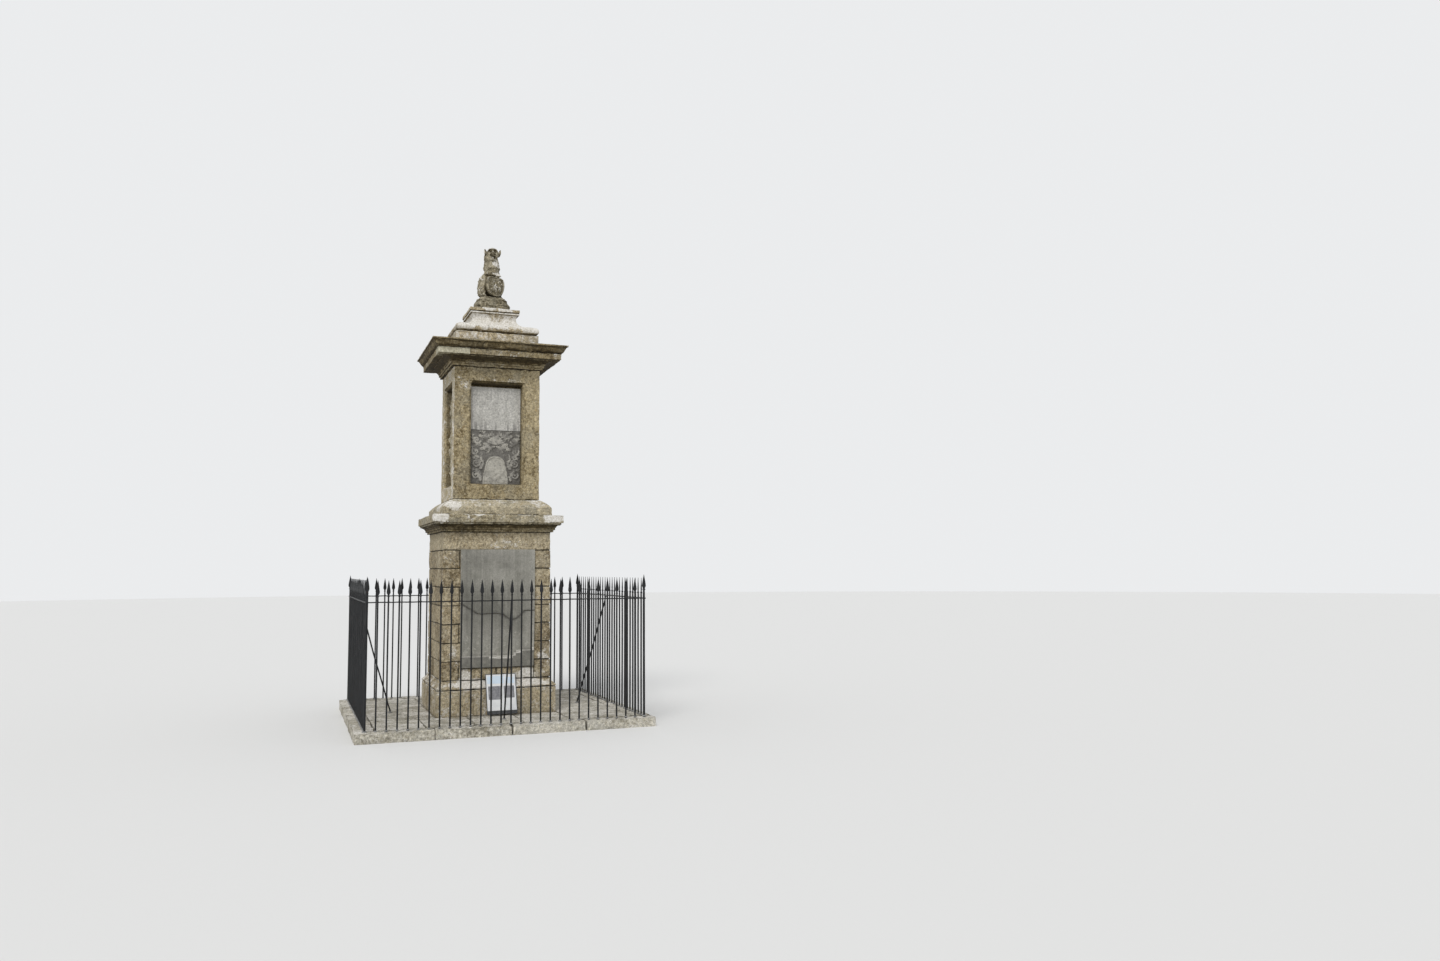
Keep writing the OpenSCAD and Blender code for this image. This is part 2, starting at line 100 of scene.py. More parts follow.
HASH_STEPS = (73856093, 19349663, 83492791)
HASH_SEED, HASH_START = 2654435761, 97
HASH_MIXER = np.uint64(0x45D9F3B)
HASH_MASK, HASH_SHIFT, HASH_HALF = np.uint64(0xFFFFFFFF), np.uint64(16), 2147483648.0


def lattice(ix, iy, iz, seed):
    """A value from -1 to 1 for each cell, always the same for one seed."""
    h = ix * HASH_STEPS[0] ^ iy * HASH_STEPS[1] ^ iz * HASH_STEPS[2]
    h = (h.astype(np.uint64) ^ np.uint64(seed * HASH_SEED + HASH_START)) & HASH_MASK
    for _ in range(2):
        h = ((h ^ (h >> HASH_SHIFT)) * HASH_MIXER) & HASH_MASK
    h = h ^ (h >> HASH_SHIFT)
    return h.astype(np.float64) / HASH_HALF - 1.0


def noise(points, size, seed):
    """Smooth noise from -1 to 1 in cells of one size, or of a size along each axis."""
    q = np.asarray(points, float) / size + 1000.0
    cell = np.floor(q)
    f = q - cell
    f = f * f * f * (f * (f * 6 - 15) + 10)
    cell = cell.astype(np.int64)
    total = 0.0
    for dx in (0, 1):
        for dy in (0, 1):
            for dz in (0, 1):
                weight = ((f[:, 0] if dx else 1 - f[:, 0]) * (f[:, 1] if dy else 1 - f[:, 1])
                          * (f[:, 2] if dz else 1 - f[:, 2]))
                total = total + weight * lattice(cell[:, 0] + dx, cell[:, 1] + dy, cell[:, 2] + dz, seed)
    return total


def rough(points, size, octaves, seed):
    """Noise with finer and weaker layers over it."""
    fade, gain = 0.55, 1.5
    total, weight, full = 0.0, 1.0, 0.0
    for k in range(octaves):
        total = total + weight * noise(points, size / 2.0 ** k, seed + 31 * k)
        full += weight
        weight *= fade
    return total / full * gain


def step(value, low, high):
    t = np.clip((value - low) / (high - low), 0, 1)
    return t * t * (3 - 2 * t)


def within(value, low, high):
    """From 0 to 1 between the two values of low, and back again between those of high."""
    return step(value, *low) * step(-value, -high[1], -high[0])


# Mesh helpers


class Shape:
    """Vertices and faces, quads and triangles apart, as arrays."""

    def __init__(self, verts, quads=None, tris=None):
        self.v = np.asarray(verts, float).reshape(-1, 3)
        self.q = np.asarray(quads if quads is not None else [], int).reshape(-1, 4)
        self.t = np.asarray(tris if tris is not None else [], int).reshape(-1, 3)

    def moved(self, offset):
        return Shape(self.v + np.asarray(offset), self.q, self.t)

    def turned(self, degrees):
        c, s = math.cos(math.radians(degrees)), math.sin(math.radians(degrees))
        turn = np.array([[c, -s, 0], [s, c, 0], [0, 0, 1]])
        return Shape(self.v @ turn.T, self.q, self.t)


def joined(shapes):
    base, verts, quads, tris = 0, [], [], []
    for s in shapes:
        verts.append(s.v)
        quads.append(s.q + base)
        tris.append(s.t + base)
        base += len(s.v)
    return Shape(np.concatenate(verts), np.concatenate(quads), np.concatenate(tris))


def normals(shape):
    n = np.zeros_like(shape.v)
    for faces in (shape.q, shape.t):
        if len(faces) == 0:
            continue
        a, b, c = (shape.v[faces[:, k]] for k in (0, 1, 2))
        d = shape.v[faces[:, -1]]
        face = np.cross(c - a, d - b) if faces.shape[1] == 4 else np.cross(b - a, c - a)
        for k in range(faces.shape[1]):
            for axis in range(3):
                n[:, axis] += np.bincount(faces[:, k], face[:, axis], len(n))
    return n / np.maximum(np.linalg.norm(n, axis=1), 1e-12)[:, None]


def facing_out(shape):
    """The shape, with its faces turned over if they look towards its middle."""
    if float((normals(shape) * (shape.v - shape.v.mean(0))).sum()) < 0:
        return Shape(shape.v, shape.q[:, ::-1], shape.t[:, ::-1])
    return shape


def edges(shape):
    """The shape's edges as pairs of points, and the weight of each: one over its length."""
    pairs = []
    for faces in (shape.q, shape.t):
        for k in range(faces.shape[1]):
            pairs.append(np.stack([faces[:, k], faces[:, (k + 1) % faces.shape[1]]], 1))
    pairs = np.sort(np.concatenate(pairs), 1)
    key = np.unique(pairs[:, 0].astype(np.int64) * len(shape.v) + pairs[:, 1])
    pairs = np.stack([key // len(shape.v), key % len(shape.v)], 1)
    length = np.linalg.norm(shape.v[pairs[:, 0]] - shape.v[pairs[:, 1]], axis=1)
    return pairs, 1.0 / np.maximum(length, 1e-4)


def relaxed(verts, pairs, weight, rounds, strength=0.6):
    """The points after they have moved towards their neighbours a number of times."""
    v = verts.copy()
    a, b = pairs[:, 0], pairs[:, 1]
    total = np.bincount(a, weight, len(v)) + np.bincount(b, weight, len(v))
    for _ in range(rounds):
        d = (v[b] - v[a]) * weight[:, None]
        move = np.stack([np.bincount(a, d[:, k], len(v)) - np.bincount(b, d[:, k], len(v))
                         for k in range(3)], 1)
        v += strength * move / total[:, None]
    return v


def weathered(shape, soften, chips, coarse, fine, pits, seed):
    """Worn stone: arrises rounded unevenly, some chipped, and the faces uneven and pitted."""
    pairs, weight = edges(shape)
    v0 = shape.v
    v1 = relaxed(v0, pairs, weight, soften)
    v2 = relaxed(v1, pairs, weight, chips)
    worn = np.clip(0.65 + 0.7 * rough(v0, 0.16, 2, seed), 0.2, 1.0)[:, None]
    chipped = step(rough(v0, 0.085, 3, seed + 7), 0.18, 0.42)[:, None]
    v = v0 + (v1 - v0) * worn
    v = v + (v2 - v) * chipped
    shape.v = v
    n = normals(shape)
    d = coarse * (rough(v, 0.32, 2, seed + 3) - 0.6)
    d = d + fine * (rough(v, 0.045, 3, seed + 5) - 0.6)
    d = d - pits * step(noise(v, 0.028, seed + 9), 0.45, 0.75)
    shape.v = v + n * d[:, None]
    return shape


def lines(low, high, cell, near=(0.005, 0.013), extra=()):
    """Places of grid lines from low to high, closer together at both ends and at the extra places."""
    count = max(1, int(round((high - low) / cell)))
    out = list(np.linspace(low, high, count + 1))
    for gap in near:
        if high - low > 4 * gap:
            out += [low + gap, high - gap]
    out += list(extra)
    out = sorted(set(round(x, 5) for x in out if low - 1e-6 <= x <= high + 1e-6))
    keep, closest = [out[0]], 0.0022
    for x in out[1:-1]:
        if x - keep[-1] > closest and out[-1] - x > closest:
            keep.append(x)
    return np.array(keep + [out[-1]])


def grid_box(xs, ys, zs):
    """A closed box with grid lines at the given places."""
    outside = np.zeros((len(xs), len(ys), len(zs)), bool)
    outside[[0, -1]] = True
    outside[:, [0, -1]] = True
    outside[:, :, [0, -1]] = True
    index = np.full(outside.shape, -1)
    index[outside] = np.arange(outside.sum())
    grid = np.stack(np.meshgrid(xs, ys, zs, indexing="ij"), -1)

    def quads(a, flip):
        q = np.stack([a[:-1, :-1], a[1:, :-1], a[1:, 1:], a[:-1, 1:]], -1).reshape(-1, 4)
        return q[:, ::-1] if flip else q

    faces = np.concatenate([
        quads(index[:, 0], False), quads(index[:, -1], True), quads(index[0], True),
        quads(index[-1], False), quads(index[:, :, 0], True), quads(index[:, :, -1], False)])
    return Shape(grid[outside], faces)


def stone_box(x0, x1, y0, y1, z0, z1, cell, cell_y=None):
    """A block as a grid of faces, coarser along y where that doesn't show."""
    return grid_box(lines(x0, x1, cell), lines(y0, y1, cell_y or cell), lines(z0, z1, cell))


def dense(profile, cell):
    """Points along a profile no further apart than cell, with closer ones beside each sharp corner."""
    p = np.asarray(profile, float)
    out = [p[0]]
    for a, b in zip(p[:-1], p[1:]):
        length = np.linalg.norm(b - a)
        if length < 1e-6:
            continue
        places = lines(0, length, cell, near=(0.004,) if length > 0.02 else ())
        out += [a + (b - a) * s / length for s in places[1:]]
    return np.array(out)


def crisp(profile):
    """The profile with two more points beside each of its corners, so that wear leaves them sharp."""
    beside = 0.0028
    out = [profile[0]]
    for a, b in zip(profile[:-1], profile[1:]):
        length = math.hypot(b[0] - a[0], b[1] - a[1])
        if length > 4 * beside:
            for t in (beside / length, 1 - beside / length):
                out.append((a[0] + (b[0] - a[0]) * t, a[1] + (b[1] - a[1]) * t))
        out.append(b)
    return out


def skin(rows, low, high):
    """A closed skin through rings of points, the first ring joined to low and the last to high."""
    grid = np.array(rows)
    k, m = grid.shape[:2]
    index = np.arange(k * m).reshape(k, m)
    nxt = np.roll(index, -1, 1)
    quads = np.stack([index[:-1], nxt[:-1], nxt[1:], index[1:]], -1)
    foot = np.stack([nxt[0], index[0], np.full(m, k * m)], 1)
    head = np.stack([index[-1], nxt[-1], np.full(m, k * m + 1)], 1)
    return Shape(np.concatenate([grid.reshape(-1, 3), [low, high]]), quads, np.concatenate([foot, head]))


def loft(sections):
    return skin(sections, sections[0].mean(0), sections[-1].mean(0))


def ring(profile, cell, joints, cell_up):
    """A square course from its profile of half widths and heights, with open upright joints.

    joints holds (side, place): side 0 is the front, then right, back and left, and the place is
    metres along that side from its middle, counted in the order of going round.
    """
    gap, beside, cut = 0.004, 0.012, 0.016
    p = dense(profile, cell_up)
    low, top = p[:, 0].min(), p[:, 0].max()
    straight = 0.82 * low
    columns = []
    for side in range(4):
        extra = []
        for where, place in joints:
            if where == side:
                extra += [place + d for d in (-beside, -gap, 0, gap, beside)]
        inner = lines(-straight, straight, cell, near=(), extra=extra)
        outer = lines(straight, top, cell, near=(0.006, 0.016))
        columns.append(np.concatenate([-outer[::-1], inner[1:-1], outer]))
    rows = []
    for a, z in p:
        row = []
        for (c, w), s in zip(QUARTERS, columns):
            beyond = np.maximum(np.abs(s) - straight, 0) / (top - straight)
            x = (np.sign(s) * (np.minimum(np.abs(s), straight) + beyond * (a - straight)))[:-1]
            row.append(np.stack([x * c + a * w, x * w - a * c, np.full(len(x), z)], 1))
        rows.append(np.concatenate(row))
    shape = skin(rows, (0, 0, p[0, 1]), (0, 0, p[-1, 1]))
    for side, place in joints:
        c, w = QUARTERS[side]
        along = shape.v[:, 0] * c + shape.v[:, 1] * w
        out = shape.v[:, 0] * w - shape.v[:, 1] * c
        hit = (np.abs(along - place) < gap * 0.6) & (out > 0.3 * low)
        shape.v[hit] += np.array([-w, c, 0.0]) * cut
    return shape


def curve(a, b, c, steps=10):
    t = np.linspace(0, 1, steps + 1)[:, None]
    a, b, c = map(np.array, (a, b, c))
    return [tuple(p) for p in a * (1 - t) ** 2 + b * 2 * t * (1 - t) + c * t * t]


def hollow(start, run, rise):
    return [(start[0] + run * (1 - math.cos(t)), start[1] + rise * math.sin(t))
            for t in np.linspace(0, math.pi / 2, 11)]


def cyma(start, run, rise):
    return [(start[0] + run * t / math.pi, start[1] + rise * (1 - math.cos(t)) / 2)
            for t in np.linspace(0, math.pi, 17)]


# Pieces


def make_piece(name, shape, material, nodes, marks, split=None):
    """Puts a shape into the scene in place of the nodes; edges sharper than split degrees stay sharp."""
    mesh = bpy.data.meshes.new(name)
    mesh.vertices.add(len(shape.v))
    mesh.vertices.foreach_set("co", shape.v.astype(np.float32).ravel())
    corners = np.concatenate([shape.q.ravel(), shape.t.ravel()])
    sizes = np.concatenate([np.full(len(shape.q), 4), np.full(len(shape.t), 3)])
    starts = np.concatenate([[0], np.cumsum(sizes)[:-1]])
    mesh.loops.add(len(corners))
    mesh.loops.foreach_set("vertex_index", corners.astype(np.int32))
    mesh.polygons.add(len(sizes))
    mesh.polygons.foreach_set("loop_start", starts.astype(np.int32))
    mesh.polygons.foreach_set("use_smooth", np.full(len(sizes), True))
    mesh.update(calc_edges=True)
    for key, values in marks.items():
        layer = mesh.attributes.new(key, "FLOAT", "POINT")
        layer.data.foreach_set("value", np.asarray(values, np.float32))
    mesh.materials.append(material)
    if split:
        mesh.set_sharp_from_angle(angle=math.radians(split))
    piece = add_object(name, mesh)
    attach(piece, "root")
    if nodes:
        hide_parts(*nodes)


def blank_marks(shape):
    return {key: np.zeros(len(shape.v)) for key in ("pale", "stain", "tone")}


# Where pale lichen grows thickest: middle, half sizes, strength
PALE = [
    (-0.27, -0.42, 6.43, 0.20, 0.12, 0.09, 1.2), (0.25, -0.44, 6.38, 0.13, 0.12, 0.06, 1.1),
    (0.54, -0.64, 6.27, 0.14, 0.10, 0.06, 1.2), (-0.52, -0.66, 6.27, 0.14, 0.10, 0.07, 1.0),
    (-0.10, -0.70, 6.27, 0.24, 0.10, 0.05, 0.7), (-0.10, -0.41, 6.61, 0.10, 0.08, 0.04, 1.0),
    (0.17, -0.41, 6.61, 0.11, 0.08, 0.05, 1.0), (-0.95, -1.0, 3.19, 0.17, 0.12, 0.08, 1.3),
    (0.88, -1.0, 3.19, 0.17, 0.12, 0.08, 1.3), (-0.69, -0.82, 3.38, 0.14, 0.12, 0.09, 1.0),
    (-0.47, -0.88, 0.72, 0.10, 0.12, 0.16, 1.1), (0.45, -0.88, 0.70, 0.15, 0.12, 0.15, 1.1),
    (0.72, -0.88, 0.95, 0.09, 0.12, 0.22, 0.6), (-0.66, -0.88, 1.05, 0.09, 0.12, 0.25, 0.5),
    (-0.40, -0.93, 0.62, 0.26, 0.12, 0.05, 0.7), (0.55, -0.93, 0.62, 0.24, 0.12, 0.05, 0.7),
    (1.02, -1.05, 5.98, 0.10, 0.08, 0.05, 1.2), (0.54, -0.68, 4.56, 0.09, 0.05, 0.16, 0.35),
    (-0.50, -0.68, 5.34, 0.16, 0.05, 0.10, 0.55), (-0.10, -0.90, 0.60, 0.50, 0.10, 0.07, 0.8),
    (0.95, -0.2, 3.20, 0.10, 0.30, 0.07, 1.0), (-0.4, 0.98, 3.20, 0.30, 0.10, 0.07, 1.0),
    (0.3, 0.44, 6.40, 0.22, 0.12, 0.08, 1.0), (0.44, -0.1, 6.40, 0.12, 0.22, 0.08, 1.0),
    (-0.44, 0.15, 6.40, 0.12, 0.20, 0.08, 1.0), (-0.82, -0.3, 3.38, 0.12, 0.22, 0.09, 0.8),
    (0.62, 0.80, 3.38, 0.20, 0.12, 0.09, 0.9), (0.12, -0.68, 5.385, 0.38, 0.05, 0.035, 0.45),
    (-0.28, -1.01, 3.224, 0.17, 0.04, 0.014, 1.2), (0.27, -1.01, 3.222, 0.08, 0.04, 0.022, 1.2),
    (0.15, -0.86, 2.76, 0.42, 0.06, 0.075, 0.50),
]
# Dark bands under and on the mouldings, damp staining together with painted shade under the overhangs of the
# ledge, cornice and corona: foot, head, half width up to which they reach, strength
SHADE_AND_DAMP_BANDS = [
    (5.585, 5.60, 0.73, 0.9), (5.622, 5.632, 0.75, 0.8), (5.656, 5.67, 0.77, 0.8), (5.66, 5.74, 1.0, 0.95),
    (5.812, 5.835, 1.0, 0.4), (5.83, 5.93, 1.05, 0.62), (5.93, 5.972, 1.1, 0.42), (2.86, 2.965, 0.90, 0.30),
    (2.955, 3.07, 1.0, 0.8), (5.735, 5.80, 1.0, 0.35), (6.03, 6.06, 0.7, 0.2), (6.155, 6.19, 0.7, 0.45),
]


def spotted(value, v, places, sway, sway_size, seed, low, high):
    """The value with soft spots added, their outlines swayed by noise."""
    warp = v + sway * np.stack([noise(v, sway_size, seed + k) for k in range(3)], 1)
    for x, y, z, rx, ry, rz, amount in places:
        near = ((warp[:, 0] - x) / rx) ** 2 + ((warp[:, 1] - y) / ry) ** 2 + ((warp[:, 2] - z) / rz) ** 2
        value = value + amount * step(-near, low, high)
    return value


def stone_marks(shape, pale=0.0, stain=0.0, tone=0.0):
    """How much pale lichen, dark staining with painted shade, and change of tone each point of the stone has.
    """
    v, n = shape.v, normals(shape)
    lichen = spotted(np.zeros(len(v)) + pale, v, PALE, 0.04, 0.11, 40, -1.9, -0.35)
    lichen += 0.55 * step(n[:, 2], 0.45, 0.9) * (0.6 + 0.4 * noise(v, 0.2, 60))
    # faces that look down are darker: dirt together with painted shade
    dark = stain + 1.15 * step(-n[:, 2], 0.3, 0.9)
    z = v[:, 2] + 0.03 * noise(v, 0.15, 61)
    out = np.maximum(np.abs(v[:, 0]), np.abs(v[:, 1]))
    # bands of damp staining and painted shade
    for low, high, half, amount in SHADE_AND_DAMP_BANDS:
        dark += amount * step(z, low, low + 0.4 * (high - low)) * (z < high) * (out < half)
    lichen *= 1 - 0.6 * step(-n[:, 2], 0.3, 0.9)
    near_corner = np.minimum(np.abs(v[:, 0]), np.abs(v[:, 1]))
    for half, low, high in ((UPPER_A, Z_UPPER, Z_CORNICE), (LOWER_A, Z_DIE, Z_BED)):
        on_die = (v[:, 2] > low) & (v[:, 2] < high) & (out < half + 0.01)
        at_arris = 0.40 * on_die * step(near_corner, half - 0.045, half - 0.005)
        lichen += at_arris * (0.6 + 0.6 * noise(v, 0.13, 62))
    # the sunk edges of the panels are darkened, most of all at the head: damp staining with painted shade in
    # the recess and along the fillet
    panel_top = PANEL_Z + PANEL_H
    in_panel = (v[:, 2] > PANEL_Z - SPLAY) & (v[:, 2] < panel_top + SPLAY)
    head = step(v[:, 2], panel_top - 0.02, panel_top + 0.02)
    for along, across in ((0, 1), (1, 0)):
        sunk = UPPER_A - np.abs(v[:, across])
        inside = (np.abs(v[:, along]) < PANEL_W / 2 + SPLAY) & (sunk < 0.21) & in_panel
        dark += inside * step(sunk, 0.003, 0.012) * (0.20 + 0.40 * step(sunk, 0.045, 0.10) + 1.1 * head)
        # less painted shade on the head's splay, which faces down and is already dark
        dark -= 1.15 * inside * head * step(sunk, 0.009, 0.014) * step(-sunk, -0.050, -0.040)
        dark += 0.8 * inside * head * step(sunk, 0.001, 0.005) * step(-sunk, -0.011, -0.008)
    return {"pale": np.clip(lichen, 0, 1.2), "stain": np.clip(dark, 0, 1.6), "tone": tone + np.zeros(len(v))}


def stone_piece(name, shape, nodes, material, slot="limestone", **look):
    make_piece(name, shape, material, nodes, stone_marks(shape, **look))

# Materials


class Net:
    """A material's node tree, with short calls for the nodes used here."""

    def __init__(self, name, roughness, specular):
        self.material = bpy.data.materials.new(name)
        self.material.use_nodes = True
        self.tree = self.material.node_tree
        self.shader = self.tree.nodes["Principled BSDF"]
        self.shader.inputs["Roughness"].default_value = roughness
        self.shader.inputs["Specular IOR Level"].default_value = specular
        self.shader.inputs["Metallic"].default_value = 0.0
        self.coords = self.add("ShaderNodeTexCoord").outputs["Object"]

    def add(self, kind, **values):
        node = self.tree.nodes.new(kind)
        for key, value in values.items():
            setattr(node, key, value)
        return node

    def put(self, socket, value):
        if isinstance(value, bpy.types.NodeSocket):
            self.tree.links.new(value, socket)
        elif isinstance(value, (tuple, list)) and len(value) == 3 and socket.type == "RGBA":
            socket.default_value = (*value, 1)
        else:
            socket.default_value = value

    def noise(self, scale, detail=4.0, roughness=0.6, stretch=None, distortion=0.0):
        node = self.add("ShaderNodeTexNoise")
        place = self.coords
        if stretch:
            mapping = self.add("ShaderNodeMapping")
            self.put(mapping.inputs["Vector"], self.coords)
            mapping.inputs["Scale"].default_value = stretch
            place = mapping.outputs["Vector"]
        self.put(node.inputs["Vector"], place)
        node.inputs["Scale"].default_value = scale
        node.inputs["Detail"].default_value = detail
        node.inputs["Roughness"].default_value = roughness
        node.inputs["Distortion"].default_value = distortion
        return node.outputs["Fac"]

    def cells(self, scale, output="Distance"):
        node = self.add("ShaderNodeTexVoronoi", feature="F1")
        self.put(node.inputs["Vector"], self.coords)
        node.inputs["Scale"].default_value = scale
        return node.outputs[output]

    def mark(self, name):
        return self.add("ShaderNodeAttribute", attribute_name=name).outputs["Fac"]

    def math(self, operation, a, b, clamp=False):
        node = self.add("ShaderNodeMath", operation=operation, use_clamp=clamp)
        self.put(node.inputs[0], a)
        self.put(node.inputs[1], b)
        return node.outputs[0]

    def plus(self, a, b, clamp=False):
        return self.math("ADD", a, b, clamp)

    def times(self, a, b, clamp=False):
        return self.math("MULTIPLY", a, b, clamp)

    def minus(self, a, b):
        return self.math("SUBTRACT", a, b)

    def span(self, value, low, high, to_low=0.0, to_high=1.0):
        node = self.add("ShaderNodeMapRange", interpolation_type="SMOOTHSTEP")
        for key, v in (("Value", value), ("From Min", low), ("From Max", high), ("To Min", to_low),
                       ("To Max", to_high)):
            self.put(node.inputs[key], v)
        return node.outputs["Result"]

    def ramp(self, value, *stops):
        node = self.add("ShaderNodeValToRGB")
        elements = node.color_ramp.elements
        while len(elements) < len(stops):
            elements.new(0.5)
        for element, (place, colour) in zip(elements, stops):
            element.position = place
            element.color = (*colour, 1)
        self.put(node.inputs["Fac"], value)
        return node.outputs["Color"]

    def mix(self, fac, a, b, blend="MIX"):
        node = self.add("ShaderNodeMix", data_type="RGBA", blend_type=blend)
        self.put(node.inputs[0], fac)
        self.put(node.inputs[6], a)
        self.put(node.inputs[7], b)
        return node.outputs[2]

    def tint(self, fac, colour, by):
        """The colour, and as far as fac says, its product with another colour."""
        return self.mix(fac, colour, self.mix(1.0, colour, by, "MULTIPLY"))

    def bump(self, height, distance, strength):
        node = self.add("ShaderNodeBump")
        node.inputs["Distance"].default_value = distance
        node.inputs["Strength"].default_value = strength
        self.put(node.inputs["Height"], height)
        return node.outputs["Normal"]

    def finish(self, colour, normal=None, roughness=None):
        self.put(self.shader.inputs["Base Color"], colour)
        if normal:
            self.put(self.shader.inputs["Normal"], normal)
        if roughness:
            self.put(self.shader.inputs["Roughness"], roughness)
        return self.material


def scaled(colour, amount):
    return [amount * c for c in colour]


WHITE = (1, 1, 1)


def limestone(name, brown, buff, light, film, film_amount, spots, grain, pale_bias):
    """Weathered oolitic limestone with grey film, pale and ochre lichen, dark stains with painted shade, and
    pits.
    """
    n = Net(name, 0.92, 0.25)
    tone = n.times(n.mark("tone"), 0.22)
    broad = n.plus(n.noise(1.1, 3, 0.5), tone)
    body = n.plus(n.times(n.noise(7.5, 9, 0.72, distortion=0.4), 0.7), n.times(broad, 0.45))
    body = n.plus(body, n.times(n.minus(n.noise(23, 8, 0.74), 0.5), 1.0))
    colour = n.ramp(body, (0.38, scaled(brown, 0.80)), (0.47, brown), (0.57, buff), (0.70, light))
    # grey film in clouds
    cloud = n.span(n.noise(2.7, 7, 0.62, distortion=0.7), 0.46, 0.64)
    colour = n.mix(n.times(cloud, film_amount), colour, film)
    # fine grain, then patchy growth at the scale of a thumb
    fine = n.noise(85, 5, 0.7)
    grains = n.ramp(fine, (0.28, (0.44, 0.43, 0.39)), (0.52, WHITE), (0.76, (1.55, 1.55, 1.5)))
    colour = n.tint(grain, colour, grains)
    mottle = n.ramp(n.noise(25, 8, 0.82, distortion=0.3), (0.37, (0.40, 0.385, 0.35)), (0.50, WHITE),
                    (0.63, (1.70, 1.68, 1.58)))
    colour = n.tint(0.85 * grain, colour, mottle)
    # ochre crusts
    crust = n.span(n.noise(9.0, 6, 0.7, distortion=1.0), 0.62, 0.70)
    colour = n.mix(n.times(crust, 0.45), colour, (0.36, 0.235, 0.085))
    # ragged cream specks and dark ones
    speck = n.span(n.noise(41, 7, 0.76, distortion=0.6), 0.575, 0.64)
    colour = n.mix(n.times(speck, 0.62 * spots), colour, [min(1.0, 1.28 * c + 0.03) for c in light])
    dirt_speck = n.span(n.noise(33, 7, 0.78, distortion=0.6), 0.60, 0.68)
    colour = n.mix(n.times(dirt_speck, 0.60), colour, scaled(brown, 0.55))
    # round pale lichens of different sizes
    for scale, edge, amount in ((10.0, 0.24, 0.34), (22.0, 0.25, 0.5), (48.0, 0.28, 0.5)):
        which = n.plus(n.cells(scale, "Color"), n.times(n.mark("pale"), 0.35))
        chosen = n.span(which, 0.62, 0.72)
        ragged_gap = n.plus(n.cells(scale), n.times(n.minus(n.noise(52, 5, 0.75), 0.5), 0.62))
        disc = n.times(n.span(ragged_gap, edge, edge - 0.09), chosen)
        colour = n.mix(n.times(disc, amount * spots), colour, (0.52, 0.485, 0.385))
    # pale crust where the marks ask for it
    growth = n.plus(n.times(n.mark("pale"), 0.27), n.times(n.noise(19, 9, 0.82), 1.05))
    growth = n.plus(growth, n.times(n.minus(n.noise(4.5, 4, 0.6), 0.5), 0.50))
    growth = n.span(growth, 0.69 - 0.7 * pale_bias, 0.78 - 0.7 * pale_bias)
    white = n.ramp(n.noise(40, 5, 0.75), (0.35, (0.44, 0.41, 0.34)), (0.54, (0.76, 0.735, 0.69)),
                   (0.68, (0.90, 0.885, 0.86)))
    colour = n.mix(n.times(growth, 0.9), colour, white)
    # dark stains, with the painted shade that shares their mark, run down in streaks
    streak = n.noise(1.0, 5, 0.6, stretch=(17, 17, 1.3))
    dirt_and_shade = n.times(n.mark("stain"), n.span(streak, 0.30, 0.60, 0.65, 1.0))
    dirt_and_shade = n.plus(dirt_and_shade, n.times(n.span(streak, 0.56, 0.72), 0.22), clamp=True)
    colour = n.tint(n.times(dirt_and_shade, 0.90, clamp=True), colour, (0.27, 0.235, 0.155))
    # greyer and darker where the mark is strongest: painted shade under soffits and at the panel heads
    colour = n.tint(n.span(n.mark("stain"), 0.95, 1.5), colour, (0.45, 0.43, 0.38))
    # pits
    hole = n.times(n.span(n.cells(70.0), 0.24, 0.10), n.span(n.noise(12, 3), 0.48, 0.62))
    colour = n.mix(n.times(hole, 0.6), colour, (0.07, 0.058, 0.038))
    height = n.plus(n.times(n.noise(26, 6, 0.65), 1.0), n.times(fine, 0.35))
    height = n.minus(height, n.times(hole, 0.45))
    height = n.plus(height, n.times(growth, 0.12))
    return n.finish(colour, n.bump(height, 0.008, 0.9))


def slate(name, dark, mid, light, streaky, speckle, mark_dark, mottle):
    """A fine-grained slab with long upright water streaks, small pale lichens and a faint sheen."""
    n = Net(name, 0.62, 0.4)
    broad = n.noise(1.6, 4, 0.55, distortion=0.5)
    streak = n.noise(1.0, 6, 0.62, stretch=(26, 26, 1.1))
    body = n.plus(n.times(broad, 0.55), n.times(streak, 0.45 * streaky))
    body = n.plus(body, n.times(n.mark("tone"), 0.25))
    colour = n.ramp(body, (0.36, dark), (0.50, mid), (0.66, light))
    cloud = n.span(n.noise(9, 8, 0.74), 0.45, 0.62)
    colour = n.tint(n.times(cloud, 0.28), colour, (0.62, 0.63, 0.60))
    fine = n.noise(95, 4, 0.7)
    grains = n.ramp(fine, (0.3, (0.66, 0.66, 0.65)), (0.52, WHITE), (0.74, (1.28, 1.28, 1.26)))
    colour = n.mix(1.0, colour, grains, "MULTIPLY")
    blotches = n.ramp(n.noise(34, 7, 0.80), (0.34, (0.42, 0.41, 0.40)), (0.50, WHITE),
                      (0.66, (1.45, 1.45, 1.40)))
    colour = n.tint(mottle, colour, blotches)
    # small round lichens, and growth where the marks ask for it
    which = n.span(n.cells(34.0, "Color"), 0.60, 0.75)
    ragged_gap = n.plus(n.cells(34.0), n.times(n.noise(90, 3), 0.25))
    disc = n.times(n.span(ragged_gap, 0.40, 0.26), which)
    growth = n.span(n.plus(n.noise(20, 7, 0.72), n.times(n.mark("pale"), 0.3)), 0.60, 0.75)
    grown = n.plus(n.times(disc, speckle), n.times(growth, 0.6), clamp=True)
    colour = n.mix(grown, colour, (0.47, 0.45, 0.39))
    # stains, and painted shade in the hollows of carvings, from the stain mark
    colour = n.mix(n.times(n.mark("stain"), 0.9, clamp=True), colour, mark_dark)
    # bruised, paler arrises along a break
    colour = n.mix(n.span(n.mark("pale"), 1.0, 1.6), colour, (0.62, 0.60, 0.55))
    height = n.plus(n.times(n.noise(18, 5), 0.5), n.times(fine, 0.25))
    return n.finish(colour, n.bump(height, 0.004, 0.6), n.span(cloud, 0.0, 1.0, 0.62, 0.8))


